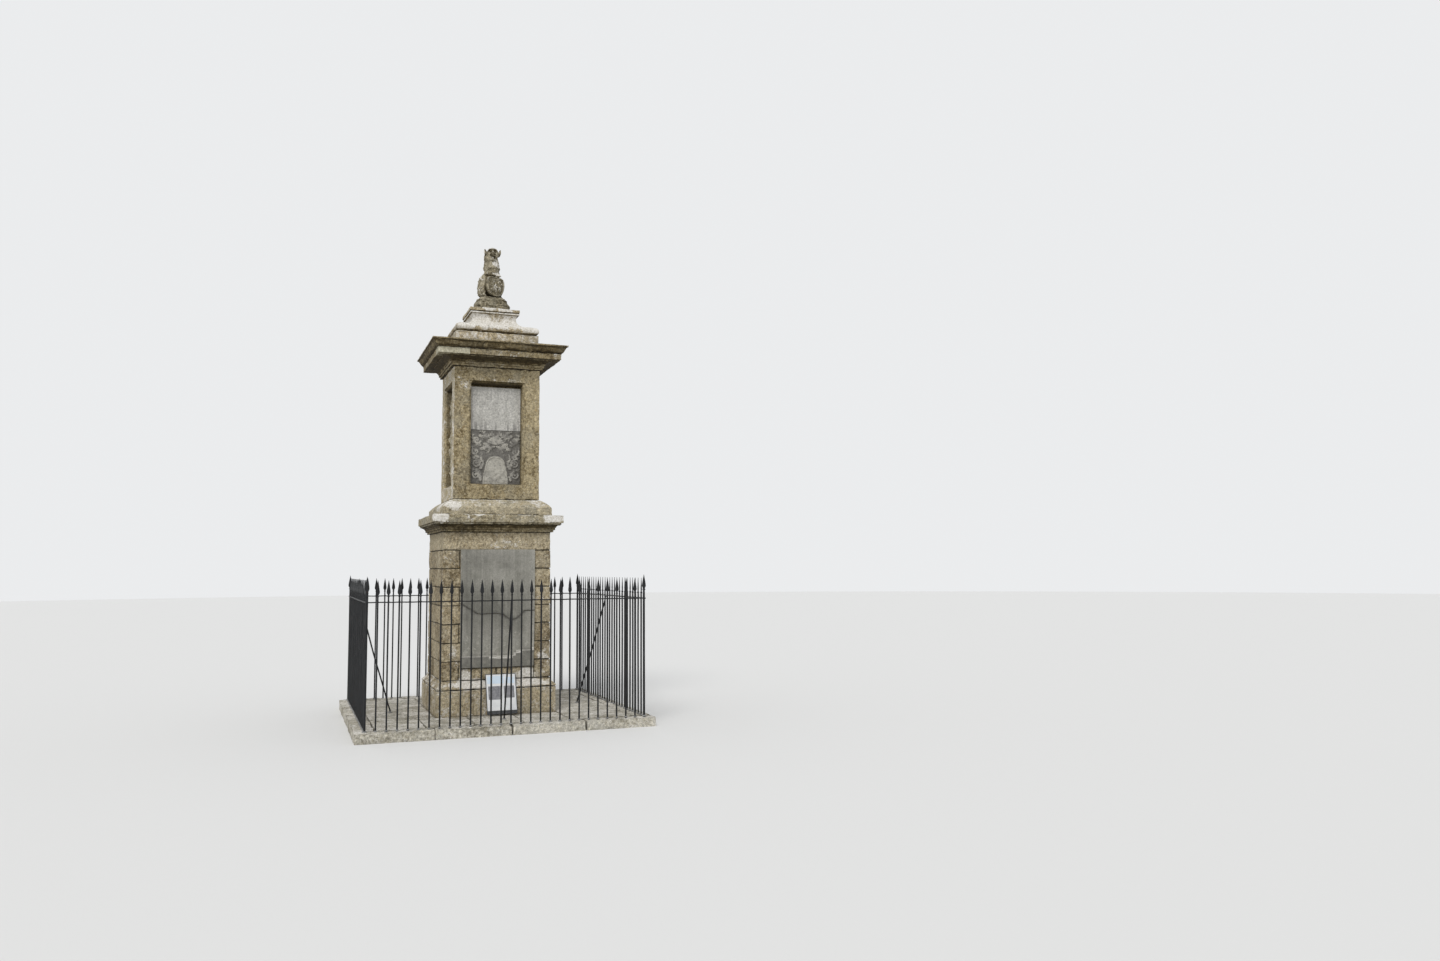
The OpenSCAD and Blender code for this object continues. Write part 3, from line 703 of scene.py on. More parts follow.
def wrought_iron():
    """Old black paint on hand-forged bars, chalky blue-grey in patches, rust where it broke."""
    n = Net("iron_paint", 0.6, 0.3)
    colour = n.ramp(n.noise(7, 7, 0.65), (0.34, (0.005, 0.0055, 0.006)), (0.55, (0.010, 0.011, 0.0125)),
                    (0.74, (0.024, 0.027, 0.030)))
    rust = n.times(n.span(n.noise(24, 7, 0.72), 0.60, 0.70), n.span(n.mark("stain"), -0.2, 1.0, 0.25, 1.0))
    rust_colour = n.ramp(n.noise(70, 4), (0.35, (0.055, 0.022, 0.010)), (0.65, (0.15, 0.062, 0.024)))
    colour = n.mix(rust, colour, rust_colour)
    pale = n.span(n.noise(16, 6, 0.7), 0.66, 0.74)
    colour = n.mix(n.times(pale, 0.20), colour, (0.13, 0.135, 0.13))
    height = n.plus(n.noise(60, 5, 0.65), n.times(rust, 0.4))
    return n.finish(colour, n.bump(height, 0.0016, 0.8), n.span(rust, 0.0, 1.0, 0.50, 0.88))


def lead():
    n = Net("lead_seat", 0.7, 0.5)
    colour = n.ramp(n.noise(30, 6, 0.7), (0.35, (0.12, 0.12, 0.12)), (0.55, (0.24, 0.24, 0.235)),
                    (0.72, (0.40, 0.40, 0.385)))
    return n.finish(colour, n.bump(n.noise(90, 4), 0.002, 0.7))


def board_paint():
    n = Net("board_paint", 0.6, 0.4)
    grain = n.noise(1.0, 6, 0.6, stretch=(60, 60, 4))
    colour = n.ramp(grain, (0.35, (0.035, 0.037, 0.040)), (0.55, (0.060, 0.062, 0.066)),
                    (0.72, (0.10, 0.10, 0.10)))
    worn = n.span(n.noise(14, 7, 0.7), 0.60, 0.70)
    colour = n.mix(n.times(worn, 0.45), colour, (0.19, 0.17, 0.13))
    return n.finish(colour, n.bump(grain, 0.0015, 0.6), n.span(worn, 0.0, 1.0, 0.55, 0.85))


def laminated_sheet():
    """A damp sheet under clear film, with pale blue and grey blocks."""
    n = Net("laminated_sheet", 0.25, 0.5)
    paper = n.ramp(n.noise(9, 5, 0.6), (0.3, (0.70, 0.72, 0.74)), (0.6, (0.80, 0.81, 0.82)))
    colour = n.mix(n.span(n.mark("blue"), 0.3, 0.7), paper, (0.64, 0.755, 0.87))
    block = n.ramp(n.noise(26, 6, 0.65), (0.35, (0.16, 0.16, 0.18)), (0.65, (0.30, 0.30, 0.31)))
    colour = n.mix(n.span(n.mark("grey"), 0.3, 0.7), colour, block)
    damp = n.span(n.noise(7, 7, 0.7), 0.58, 0.72)
    colour = n.mix(n.times(damp, 0.35), colour, (0.47, 0.45, 0.38))
    return n.finish(colour, n.bump(n.noise(9, 4), 0.004, 0.5), n.span(damp, 0.0, 1.0, 0.22, 0.5))


# Each stone's brown, buff, light and film colours, then amounts of film, spots, grain and pale crust
LIMESTONE = limestone("limestone_die", (0.165, 0.125, 0.065), (0.285, 0.232, 0.138), (0.40, 0.335, 0.215),
                      (0.27, 0.25, 0.195), 0.40, 1.0, 1.0, 0.0)
LOWSTONE = limestone("limestone_low", (0.18, 0.14, 0.083), (0.315, 0.26, 0.17), (0.455, 0.39, 0.275),
                     (0.31, 0.28, 0.215), 0.40, 1.2, 1.0, 0.03)
CROWNSTONE = limestone("limestone_crown", (0.22, 0.175, 0.105), (0.40, 0.335, 0.225), (0.55, 0.475, 0.345),
                       (0.37, 0.34, 0.27), 0.5, 1.0, 1.0, 0.05)
CAPSTONE = limestone("limestone_cap", (0.15, 0.12, 0.07), (0.27, 0.23, 0.15), (0.42, 0.37, 0.27),
                     (0.26, 0.245, 0.20), 0.6, 1.0, 1.0, 0.05)
KERBSTONE = limestone("limestone_kerb", (0.27, 0.25, 0.20), (0.41, 0.385, 0.325), (0.56, 0.535, 0.475),
                      (0.40, 0.39, 0.35), 0.5, 0.8, 0.9, 0.10)
STATUE = limestone("limestone_statue", (0.125, 0.105, 0.065), (0.25, 0.218, 0.15), (0.41, 0.37, 0.28),
                   (0.26, 0.245, 0.20), 0.5, 0.9, 1.0, 0.03)
NEWSTONE = limestone("limestone_new", (0.36, 0.33, 0.24), (0.45, 0.42, 0.31), (0.54, 0.51, 0.40),
                     (0.42, 0.40, 0.32), 0.4, 0.2, 0.5, -0.16)
MORTAR = limestone("lime_mortar", (0.05, 0.042, 0.028), (0.085, 0.073, 0.050), (0.13, 0.115, 0.085),
                   (0.09, 0.082, 0.065), 0.5, 0.2, 1.0, -0.2)
# Each slate's dark, middle and light colours, streaks, lichens, colour of its stains and painted shade, and
# mottling
SLATE_LOW = slate("slate_tablet", (0.15, 0.147, 0.127), (0.235, 0.228, 0.20), (0.33, 0.32, 0.285),
                  0.8, 0.35, (0.08, 0.077, 0.066), 0.25)
SLATE_TOP = slate("slate_plain", (0.33, 0.32, 0.298), (0.445, 0.433, 0.405), (0.56, 0.545, 0.515),
                  0.8, 0.7, (0.13, 0.125, 0.115), 0.8)
SLATE_CARVED = slate("slate_carved", (0.15, 0.14, 0.125), (0.25, 0.237, 0.215), (0.38, 0.362, 0.325),
                     0.35, 0.8, (0.08, 0.075, 0.066), 0.9)
IRON = wrought_iron()
LEAD = lead()
BOARD = board_paint()
SHEET = laminated_sheet()

# Kerb and platform


def stone_row(name, node, length, depth, cell, seed, offset, turn, wear):
    """A row of four stones along x, each a little different, with open joints, put in its place."""
    rng = np.random.default_rng(seed)
    count, gap, uneven, inside_box = 4, 0.006, 0.006, 0.0002
    stones, tones = [], []
    cuts = np.linspace(-length / 2, length / 2, count + 1)
    for a, b in zip(cuts[:-1], cuts[1:]):
        low, high = a + gap / 2, b - gap / 2
        stone = stone_box(low, high, 0.002, depth - 0.002, 0.0, Z_KERB, cell)
        drop = uneven * rng.random()
        tilt = (rng.random(2) - 0.5) * uneven / 0.5
        top = stone.v[:, 2] > Z_KERB * 0.5
        stone.v[top, 2] -= drop + 0.5 * uneven + tilt[0] * (stone.v[top, 0] - (low + high) / 2) * 0.5
        stones.append(stone)
    for k, stone in enumerate(stones):
        stone = stone.moved(offset).turned(turn)
        floor = stone.v[:, 2] < 0.001
        stone = weathered(stone, *wear, seed)
        stone.v[:, 2] = np.maximum(stone.v[:, 2], 0.0)
        stone.v[floor, 2] = 0.0
        stone.v[:, :2] = np.clip(stone.v[:, :2], inside_box - KERB_OUT, KERB_OUT - inside_box)
        stones[k] = stone
        tones.append(np.full(len(stone.v), rng.random() - 0.5))
    stone_piece(name, joined(stones), [node], KERBSTONE, "platform", pale=0.12, tone=np.concatenate(tones))


# How worn: rounds of softening and of chipping, then depth of waves, of grain and of pits
KERB_WEAR, SLAB_WEAR = (8, 22, 0.010, 0.0035, 0.005), (5, 14, 0.005, 0.002, 0.003)
DIE_WEAR = (4, 9, 0.004, 0.0018, 0.004)
for side, turn in (("back", 0), ("left", 90), ("front", 180), ("right", 270)):
    length = 2 * KERB_OUT if side in ("front", "back") else 2 * KERB_IN - 0.001
    stone_row("kerb_stones_" + side, "kerb_" + side, length, 0.30, 0.034, 11 + turn, (0, KERB_IN, 0), turn,
              KERB_WEAR)
    inner, outer = PLINTH_A + 0.001, KERB_IN - 0.001
    stone_row("platform_slabs_" + side, "platform_" + side, outer + inner, outer - inner, 0.045, 23 + turn,
              (outer - (outer + inner) / 2, inner, 0), turn, SLAB_WEAR)

# Plinth, base and lower die


def square_course(course, joints, low, high, half, depth, cell, seed):
    """Dressed blocks round a square; the sides take turns, course by course, in running over the corners."""
    gap = 0.008
    rng = np.random.default_rng(seed)
    blocks, tones = [], []
    for side in range(4):
        end = half if (side + course) % 2 == 0 else half - depth
        cuts = [-end] + [j for j in joints[side] if abs(j) < end - 0.05] + [end]
        for a, b in zip(cuts[:-1], cuts[1:]):
            block = stone_box(a + gap / 2, b - gap / 2, -half, -half + depth, low + gap / 2, high - gap / 2,
                              cell, 0.2)
            blocks.append(weathered(block.turned(90 * side), *DIE_WEAR, seed + side))
            tones.append(np.full(len(blocks[-1].v), rng.random() * 1.6 - 0.8))
    return blocks, tones


def square_box(half, low, high, cell):
    return stone_box(-half, half, -half, half, low, high, cell)


plinth_joints = [[-0.36, 0.41], [-0.30, 0.34], [-0.42, 0.30], [-0.25, 0.38]]
blocks, tones = square_course(0, plinth_joints, Z_KERB - 0.01, Z_BASE, PLINTH_A, 0.30, 0.03, 70)
footing = square_box(PLINTH_A - 0.01, 0.0, Z_BASE - 0.012, 0.3)
tones.append(np.full(len(footing.v), -0.6))
stone_piece("plinth_blocks", joined(blocks + [footing]), ["plinth"], LOWSTONE,
            tone=np.concatenate(tones) + 1.3, pale=0.40)


def worn_ring(z, profile, cell, joints, cell_up, wear, seed):
    return weathered(ring([(a, h + z) for a, h in profile], cell, joints, cell_up), *wear, seed)


slope = [(PLINTH_A, 0), (PLINTH_A, 0.025)]
slope += curve((PLINTH_A - 0.006, 0.029), (LOWER_A + 0.03, 0.0705), (LOWER_A + 0.004, 0.105))
slope.append((LOWER_A + 0.004, 0.132))
base = worn_ring(Z_BASE + 0.003, slope, 0.022,
                 [(0, -0.36), (0, 0.50), (1, -0.1), (2, 0.2), (3, -0.32), (3, 0.45)],
                 0.012, (3, 6, 0.003, 0.0018, 0.003), 81)
stone_piece("base_slope", base, ["base_moulding"], LOWSTONE, pale=0.38)

die_blocks, die_tones = [], []
rng = np.random.default_rng(5)
for course in range(COURSES):
    joints = []
    for side in range(4):
        shift = 0.05 * (rng.random() - 0.5)
        odd = course % 2
        middle = [-0.30 + shift, 0.26 + shift] if odd else [-0.02 + shift]
        edge = LOWER_A - 0.275 - (0.10 if odd else 0.0)
        joints.append([] if course == COURSES - 1 else [-edge] + middle + [edge])
    low, high = Z_DIE + course * COURSE_H, Z_DIE + (course + 1) * COURSE_H
    blocks, tones = square_course(course + 1, joints, low, high, LOWER_A, 0.26, 0.044, 100 + 10 * course)
    die_blocks += blocks
    die_tones += tones
stone_piece("lower_die_blocks", joined(die_blocks), ["lower_die"], LOWSTONE, tone=np.concatenate(die_tones),
            pale=0.06)
stone_piece("lower_die_mortar", square_box(LOWER_A - 0.017, Z_DIE, Z_BED, 0.4), [], MORTAR)

# Tablets of the lower die
# A slab is drawn as a polygon in its own plane, x to the right and z up.


def outline_points(corners, spacing):
    out = []
    for (x1, z1), (x2, z2) in zip(corners, corners[1:] + corners[:1]):
        count = max(1, int(math.hypot(x2 - x1, z2 - z1) / spacing))
        for k in range(count):
            t = k / count
            out.append((x1 + (x2 - x1) * t, z1 + (z2 - z1) * t))
    return out


def broken_line(corners, seed):
    """Points along a break from left to right, each moved a little."""
    amount = 0.006
    walk = outline_points(corners, 0.022)
    p = np.array([(x, 0.0, z) for x, z in walk])
    dx, dz = noise(p, 0.05, seed) * amount, noise(p, 0.035, seed + 3) * amount
    moved = [(x + a, z + b) for (x, z), a, b in zip(walk, dx, dz)]
    out = [moved[0]]
    for place in moved[1:]:
        if place[0] > out[-1][0] + 0.002:
            out.append(place)
    return out


def above(line, z):
    return [(x, h + z) for x, h in line]


def slab_piece(name, corners, front_y, thick, spacing, nodes, seed, marks, turn=0):
    """A flat slab with the given outline, its face slightly uneven and its arrises worn."""
    soft = 0.004
    bm = bmesh.new()
    bm.faces.new([bm.verts.new((x, front_y, z)) for x, z in outline_points(corners, spacing)])
    bmesh.ops.recalc_face_normals(bm, faces=bm.faces)
    # a grid of cuts gives the face points of its own
    cell = spacing * 1.3
    for k, direction in ((0, (1, 0, 0)), (1, (0, 0, 1))):
        ends = [p[k] for p in corners]
        place = min(ends) + cell
        while place < max(ends) - 0.3 * cell:
            co = (place, front_y, 0) if k == 0 else (0, front_y, place)
            bmesh.ops.bisect_plane(bm, geom=bm.verts[:] + bm.edges[:] + bm.faces[:], plane_co=co,
                                   plane_no=direction, dist=0.0005)
            place += cell
    bmesh.ops.inset_region(bm, faces=bm.faces[:], thickness=soft, depth=0.0, use_even_offset=True)
    rim_edges = [e for e in bm.edges if e.is_boundary]
    border = {v for e in rim_edges for v in e.verts}
    extruded = bmesh.ops.extrude_edge_only(bm, edges=rim_edges)
    for v in extruded["geom"]:
        if isinstance(v, bmesh.types.BMVert):
            v.co.y += thick
    for v in border:
        v.co.y += soft * 0.6
    bmesh.ops.contextual_create(bm, geom=[e for e in bm.edges if e.is_boundary])
    bmesh.ops.triangulate(bm, faces=[f for f in bm.faces if len(f.verts) > 4])
    bmesh.ops.recalc_face_normals(bm, faces=bm.faces)
    bm.verts.index_update()
    verts = np.array([v.co[:] for v in bm.verts])
    faces = [[v.index for v in f.verts] for f in bm.faces]
    bm.free()
    near = verts[:, 1] < front_y + 0.5 * thick
    face = verts[near]
    verts[near, 1] += 0.0012 * rough(face, 0.25, 3, seed) + 0.0006 * rough(face, 0.03, 2, seed + 2)
    shape = Shape(verts, [f for f in faces if len(f) == 4], [f for f in faces if len(f) == 3]).turned(turn)
    make_piece(name, shape, SLATE_LOW, nodes, marks(shape), split=50)


TABLET_Y, HALF_GAP = -LOWER_A - 0.032, 0.0035
crack = broken_line([(-0.57, 1.846), (-0.54, 1.836), (-0.402, 1.749), (-0.325, 1.700), (-0.248, 1.677),
                     (-0.125, 1.694), (-0.02, 1.690), (0.077, 1.673), (0.14, 1.632), (0.203, 1.589),
                     (0.30, 1.600), (0.36, 1.668), (0.419, 1.720), (0.50, 1.722), (0.583, 1.729)], 301)
low_break = broken_line([(-0.565, 1.040), (-0.47, 1.028), (-0.378, 1.033), (-0.20, 1.030), (0.02, 1.018),
                         (0.193, 1.009), (0.262, 1.045), (0.31, 1.082), (0.36, 1.101), (0.44, 1.112),
                         (0.575, 1.123)], 305)


def tablet_marks(shape):
    """The tablet darkens in a broad cloud near its top and beside its breaks, and is paler low down."""
    v = shape.v
    m = blank_marks(shape)
    from_crack, from_break = (np.abs(v[:, 2] - np.interp(v[:, 0], *zip(*line)))
                              for line in (crack, low_break))
    cloud = step(-((v[:, 0] + 0.02) / 0.40) ** 2 - ((v[:, 2] - 2.50) / 0.16) ** 2, -1.4, -0.1)
    stain = 0.36 * cloud * (0.7 + 0.6 * noise(v, 0.09, 310)) + 0.04
    for gap in (from_crack, from_break):
        stain += 0.35 * step(-gap, -0.05, -0.012) * (0.6 + 0.5 * noise(v, 0.05, 311))
    stain += 0.9 * step(-from_crack, -0.009, -0.004)
    m["stain"] = np.clip(stain, 0, 1)
    m["tone"] = 0.5 * step(-v[:, 2], -1.85, -1.2) + 0.45 * step(v[:, 2], 1.9, 2.3)
    m["tone"] += 0.5 * step(v[:, 0], 0.35, 0.60)
    m["pale"] = 0.4 * step(-v[:, 2], -1.9, -0.9) + 0.5 * step(-np.abs(np.abs(v[:, 0]) - 0.56), -0.03, -0.004)
    m["pale"] += 2.3 * step(-from_break, -0.0085, -0.004) * (0.8 + 0.25 * noise(v, 0.12, 315))
    return m


def foot_marks(shape):
    m = tablet_marks(shape)
    m["stain"] = np.clip(m["stain"] + 0.50 - 0.5 * (m["pale"] > 0.9), 0, 1)
    return m


slab_piece("tablet_upper_part", [(-0.569, 2.685), (0.583, 2.685)] + above(crack, HALF_GAP)[::-1],
           TABLET_Y, 0.034, 0.030, ["lower_tablet"], 320, tablet_marks)
slab_piece("tablet_lower_part", above(crack, -HALF_GAP) + above(low_break, HALF_GAP)[::-1],
           TABLET_Y + 0.002, 0.032, 0.030, [], 321, tablet_marks)
slab_piece("tablet_foot_strip", above(low_break, -HALF_GAP) + [(0.572, 0.864), (-0.560, 0.864)],
           TABLET_Y + 0.006, 0.028, 0.030, ["lower_tablet_foot"], 322, foot_marks)
slab_piece("rear_slab", [(-0.57, 2.685), (0.57, 2.685), (0.57, 0.860), (-0.57, 0.860)],
           TABLET_Y, 0.034, 0.036, ["rear_tablet"], 323, tablet_marks, turn=180)

# Ledge of the pedestal


def stepped_bed(first, first_top, second, second_top, start, end, rise):
    """Two square steps, then a hollow from start out to end."""
    steps = crisp([(first, 0.0), (first, first_top), (second, first_top), (second, second_top)])
    return steps + hollow((start, second_top), end - start, rise)


bed = stepped_bed(LOWER_A + 0.032, 0.033, LOWER_A + 0.056, 0.066, LOWER_A + 0.066, LEDGE_A - 0.04, 0.044)
bed = worn_ring(Z_BED, bed, 0.024, [(0, -0.31), (0, 0.36), (1, 0.1), (2, -0.2), (3, 0.05)], 0.012,
                (2, 9, 0.002, 0.0012, 0.002), 90)
stone_piece("bed_mould", bed, ["bed_moulding"], LIMESTONE, stain=0.06)
ledge = worn_ring(Z_LEDGE, [(LEDGE_A - 0.03, 0.0), (LEDGE_A - 0.03, 0.03), (LEDGE_A, 0.03), (LEDGE_A, 0.148),
                            (LEDGE_A - 0.012, 0.16), (WEATHER_A - 0.03, 0.163)], 0.020,
                  [(0, -0.31), (0, 0.44), (1, 0.0), (2, 0.3), (3, -0.1)], 0.014,
                  (4, 13, 0.004, 0.0022, 0.004), 91)
stone_piece("ledge", ledge, ["pedestal_cornice"], CAPSTONE, pale=0.18)
run, upright = WEATHER_A - UPPER_A - 0.006, 0.1175
weather = [(WEATHER_A, 0.0)]
weather += curve((WEATHER_A, upright), (WEATHER_A - 0.4 * run, upright + 0.0875), (WEATHER_A - run, 0.25))
weather.append((UPPER_A - 0.02, 0.251))
block = worn_ring(Z_WEATHER, weather, 0.026, [(0, 0.16), (1, -0.2), (2, 0.1), (3, 0.2)], 0.014,
                  (4, 7, 0.004, 0.0022, 0.004), 92)
stone_piece("weathering_block", block, ["weathering"], CAPSTONE,
            pale=0.16, tone=1.9 + 0.8 * noise(block.v, 0.25, 317))

# Mortar bedding that shows where the arrises of two courses are worn away
bedding_and_shadow_strips = [square_box(half, z - 0.008, z + 0.008, 0.5) for half, z in (
    (LOWER_A - 0.018, Z_DIE), (LOWER_A - 0.010, Z_BED), (LEDGE_A - 0.088, Z_LEDGE),
    (WEATHER_A - 0.022, Z_WEATHER), (UPPER_A - 0.022, Z_UPPER), (UPPER_A - 0.014, Z_CORNICE),
    (CORONA_A - 0.175, Z_CORONA), (CORONA_A - 0.016, Z_CROWN), (BLOCK_A - 0.022, Z_BLOCK),
    (BLOCK_A - 0.085, Z_TORUS), (NECK_A, Z_SCOTIA), (NECK_A + 0.001, Z_CAP))]
# a dark mortar strip just below each tablet's foot, as painted shadow under the slab
bedding_and_shadow_strips += [stone_box(-0.558, 0.566, y, y + 0.006, 0.846, 0.868, 0.2)
            for y in (-LOWER_A - 0.012, LOWER_A + 0.006)]
stone_piece("bed_mortar", joined(bedding_and_shadow_strips), [], MORTAR)

# Upper die with its sunk panels

# A panel's edge from its outer arris inwards: a narrow sunk fillet, the splay, then the square reveal
EDGE_IN = [-0.003, 0.0, 0.0006, 0.0085, 0.011, 0.022, 0.033, 0.0385, 0.0395, 0.0405, 0.0415, 0.0425,
           0.0435, 0.0455]
EDGE_DEEP = [0.0, 0.0, 0.0075, 0.0085, 0.012, 0.024, 0.038, 0.046, 0.062, 0.085, 0.110, 0.135,
             0.160, PANEL_DEEP]


def with_panel(places, low, high):
    """Grid lines with a panel's edge lines put in at both of its sides."""
    width = SPLAY + 0.005
    keep = [p for p in places if not (low - 0.006 < p < low + width or high - width < p < high + 0.006)]
    return np.array(sorted(keep + [low + e for e in EDGE_IN] + [high - e for e in EDGE_IN]))


def panelled_die():
    outer_x, low_z, high_z = PANEL_W / 2 + SPLAY, PANEL_Z - SPLAY, PANEL_Z + PANEL_H + SPLAY
    beds = [Z_UPPER + 0.30, Z_UPPER + 0.93, Z_UPPER + 1.47]
    xs = with_panel(lines(-UPPER_A, UPPER_A, 0.028, near=(0.005, 0.012)), -outer_x, outer_x)
    joints = [bed + beside for bed in beds for beside in (-0.003, 0, 0.003)]
    zs = lines(Z_UPPER, Z_CORNICE, 0.028, near=(0.005,), extra=joints)
    grid_x, grid_z = np.meshgrid(xs[:-1], with_panel(zs, low_z, high_z))
    away = np.minimum(outer_x - np.abs(grid_x), np.minimum(grid_z - low_z, high_z - grid_z))
    depth = np.interp(away, EDGE_IN, EDGE_DEEP)
    for place in beds:
        depth += np.where((np.abs(grid_z - place) < 0.0015) & (away < -0.002), 0.006, 0.0)
    y = -UPPER_A + depth
    rows = [np.stack([grid_x * c - y * w, grid_x * w + y * c, grid_z], -1) for c, w in QUARTERS]
    return skin(np.concatenate(rows, 1), (0, 0, Z_UPPER), (0, 0, Z_CORNICE))


die = weathered(panelled_die(), 2, 7, 0.003, 0.0015, 0.003, 93)
# the upper die's left face is made paler, with more pale crust, the left of the other faces a little darker
# in tone and the right lighter
paler_left_face = step(-normals(die)[:, 0], 0.45, 0.8) * (die.v[:, 0] < -0.4)
tone = 2.7 * paler_left_face - 0.3 * step(-die.v[:, 0], 0.3, 0.6) * (paler_left_face < 0.5) + 0.6 * step(die.v[:, 0], 0.3, 0.6)
stone_piece("upper_die_stone", die, ["upper_die"], LIMESTONE, pale=0.05 + 0.60 * paler_left_face, tone=tone)

# Main cornice and stepped cap

bed = stepped_bed(UPPER_A + 0.038, 0.036, UPPER_A + 0.058, 0.072, UPPER_A + 0.068, CORONA_A - 0.108, 0.063)
bed.append((CORONA_A - 0.108, 0.156))
bed = worn_ring(Z_CORNICE, bed, 0.021, [(0, 0.02), (1, 0.1), (2, -0.1), (3, 0.15)], 0.012,
                (2, 3, 0.002, 0.0012, 0.002), 94)
stone_piece("cornice_bed_mould", bed, ["cornice_bed"], LIMESTONE, pale=0.2)

# a newer stone is let in at the corona's left front corner, up to these places
REPAIR_X, REPAIR_Y = -CORONA_A + 0.49, -CORONA_A + 0.30
corona = worn_ring(Z_CORONA, [(CORONA_A - 0.10, 0.002), (CORONA_A, 0.0), (CORONA_A, 0.081),
                              (CORONA_A + 0.008, 0.081), (CORONA_A + 0.008, 0.095),
                              (CORONA_A - 0.15, 0.0955)], 0.018,
                   [(0, REPAIR_X), (3, -REPAIR_Y), (0, 0.33), (1, 0.0), (2, 0.1)], 0.012,
                   (3, 8, 0.003, 0.0018, 0.003), 95)


def in_repair(faces):
    middle = corona.v[faces].mean(1)
    out = np.maximum(np.abs(middle[:, 0]), np.abs(middle[:, 1]))
    return (middle[:, 0] < REPAIR_X) & (middle[:, 1] < REPAIR_Y) & (out > 0.66)


def corona_part(new_stone):
    """The faces of the newer stone, or all the others, with only the points that they use."""
    quads = corona.q[in_repair(corona.q) == new_stone]
    tris = corona.t[in_repair(corona.t) == new_stone]
    used = np.unique(np.concatenate([quads.ravel(), tris.ravel()]))
    index = np.full(len(corona.v), -1)
    index[used] = np.arange(len(used))
    return Shape(corona.v[used], index[quads], index[tris])


stone_piece("corona_band", corona_part(False), ["corona"], LIMESTONE, pale=0.35)
stone_piece("corona_new_stone", corona_part(True), ["corona_repair"], NEWSTONE, "repair_stone", stain=-0.45)

crown = [(CORONA_A + 0.016, 0.0)]
crown += cyma((CORONA_A + 0.016, 0.012), CROWN_A - 0.008 - (CORONA_A + 0.016), 0.093)
crown += [(CROWN_A, 0.105), (CROWN_A, 0.132), (BLOCK_A + 0.004, 0.205), (BLOCK_A - 0.03, 0.2055)]
centre = BLOCK_A + 0.007 - TORUS_R
roll = [(BLOCK_A - 0.05, 0.0)]
roll += [(centre + TORUS_R * math.cos(t), TORUS_R + TORUS_R * math.sin(t))
         for t in np.radians(np.linspace(-82, 90, 18))]
roll.append((BLOCK_A - 0.12, 0.1362))
foot, low = BLOCK_A - TORUS_R, 0.57 * 0.265
neck = [(foot + 0.008, -0.014)] + curve((foot - 0.004, 0.010), (NECK_A + 0.026, 0.026), (NECK_A, low), 14)
neck += curve((NECK_A, low + 0.002), (NECK_A, low + 0.05), (NECK_A + 0.018, 0.233), 8)
neck += [(CAP_A - 0.012, 0.233), (CAP_A - 0.012, 0.265)]
cap = [(CAP_A - 0.03, 0.0), (CAP_A - 0.008, 0.0), (CAP_A, 0.008), (CAP_A, 0.057), (CAP_A - 0.008, 0.065),
       (0.27, 0.068)]

crown = worn_ring(Z_CROWN, crown, 0.026,
                  [(0, -0.28), (0, 0.49), (1, -0.3), (1, 0.4), (2, 0.1), (3, -0.2), (3, 0.5)],
                  0.014, (3, 8, 0.003, 0.0018, 0.003), 96)
stone_piece("crown_mould", crown, ["crown"], LIMESTONE, pale=0.02, stain=0.12)
blocking = worn_ring(Z_BLOCK, [(BLOCK_A, 0.0), (BLOCK_A, 0.134), (BLOCK_A - 0.06, 0.135)], 0.018,
                     [(0, -0.15), (1, 0.2), (2, -0.2), (3, 0.1)], 0.018, (3, 10, 0.003, 0.0018, 0.003), 97)
stone_piece("blocking_stone", blocking, ["blocking_course"], CROWNSTONE, pale=0.56)
torus = worn_ring(Z_TORUS, roll, 0.018, [(0, -0.15), (0, 0.34), (1, 0.1), (2, 0.0), (3, -0.15)], 0.014,
                  (3, 12, 0.004, 0.002, 0.003), 98)
stone_piece("torus_mould", torus, ["torus"], CROWNSTONE, pale=0.50)
scotia = worn_ring(Z_SCOTIA, neck, 0.020, [(0, 0.05), (2, 0.0)], 0.012, (3, 3, 0.003, 0.0018, 0.003), 99)
stone_piece("scotia_mould", scotia, ["scotia"], CROWNSTONE, pale=1.05 + 0.8 * noise(scotia.v, 0.22, 316))
cap = worn_ring(Z_CAP, cap, 0.016, [], 0.012, (4, 18, 0.005, 0.0022, 0.004), 100)
stone_piece("cap_stone", cap, ["cap_slab"], CROWNSTONE, pale=0.14)

# Carved and plain slabs of the panels


def stroke(x, z, points, r0, r1, h0, h1):
    """Height of a rounded carved strand that follows the points, changing in width and height."""
    points = np.array(points, float)
    lengths = np.concatenate([[0], np.cumsum(np.linalg.norm(np.diff(points, axis=0), axis=1))])
    best = np.zeros_like(x)
    for k, (a, b) in enumerate(zip(points[:-1], points[1:])):
        d = b - a
        t = np.clip(((x - a[0]) * d[0] + (z - a[1]) * d[1]) / max(d @ d, 1e-12), 0, 1)
        gap = np.hypot(x - a[0] - t * d[0], z - a[1] - t * d[1])
        along = (lengths[k] + t * (lengths[k + 1] - lengths[k])) / lengths[-1]
        radius = r0 + (r1 - r0) * along
        height = (h0 + (h1 - h0) * along) * np.clip(1 - (gap / radius) ** 2, 0, 1) ** 0.5
        best = np.maximum(best, height)
    return best


def spiral(cx, cz, r0, r1, start, turns, count=26):
    t = np.linspace(0, 1, count)
    radius = r0 + (r1 - r0) * t
    angle = np.radians(start) + turns * 2 * np.pi * t
    return list(zip(cx + radius * np.cos(angle), cz + radius * np.sin(angle)))


def bow(a, b, bend, count=12):
    """Points from a to b that bow out sideways."""
    a, b = np.array(a, float), np.array(b, float)
    side = np.array([-(b - a)[1], (b - a)[0]])
    return [tuple(a + (b - a) * t + side * bend * 4 * t * (1 - t)) for t in np.linspace(0, 1, count)]


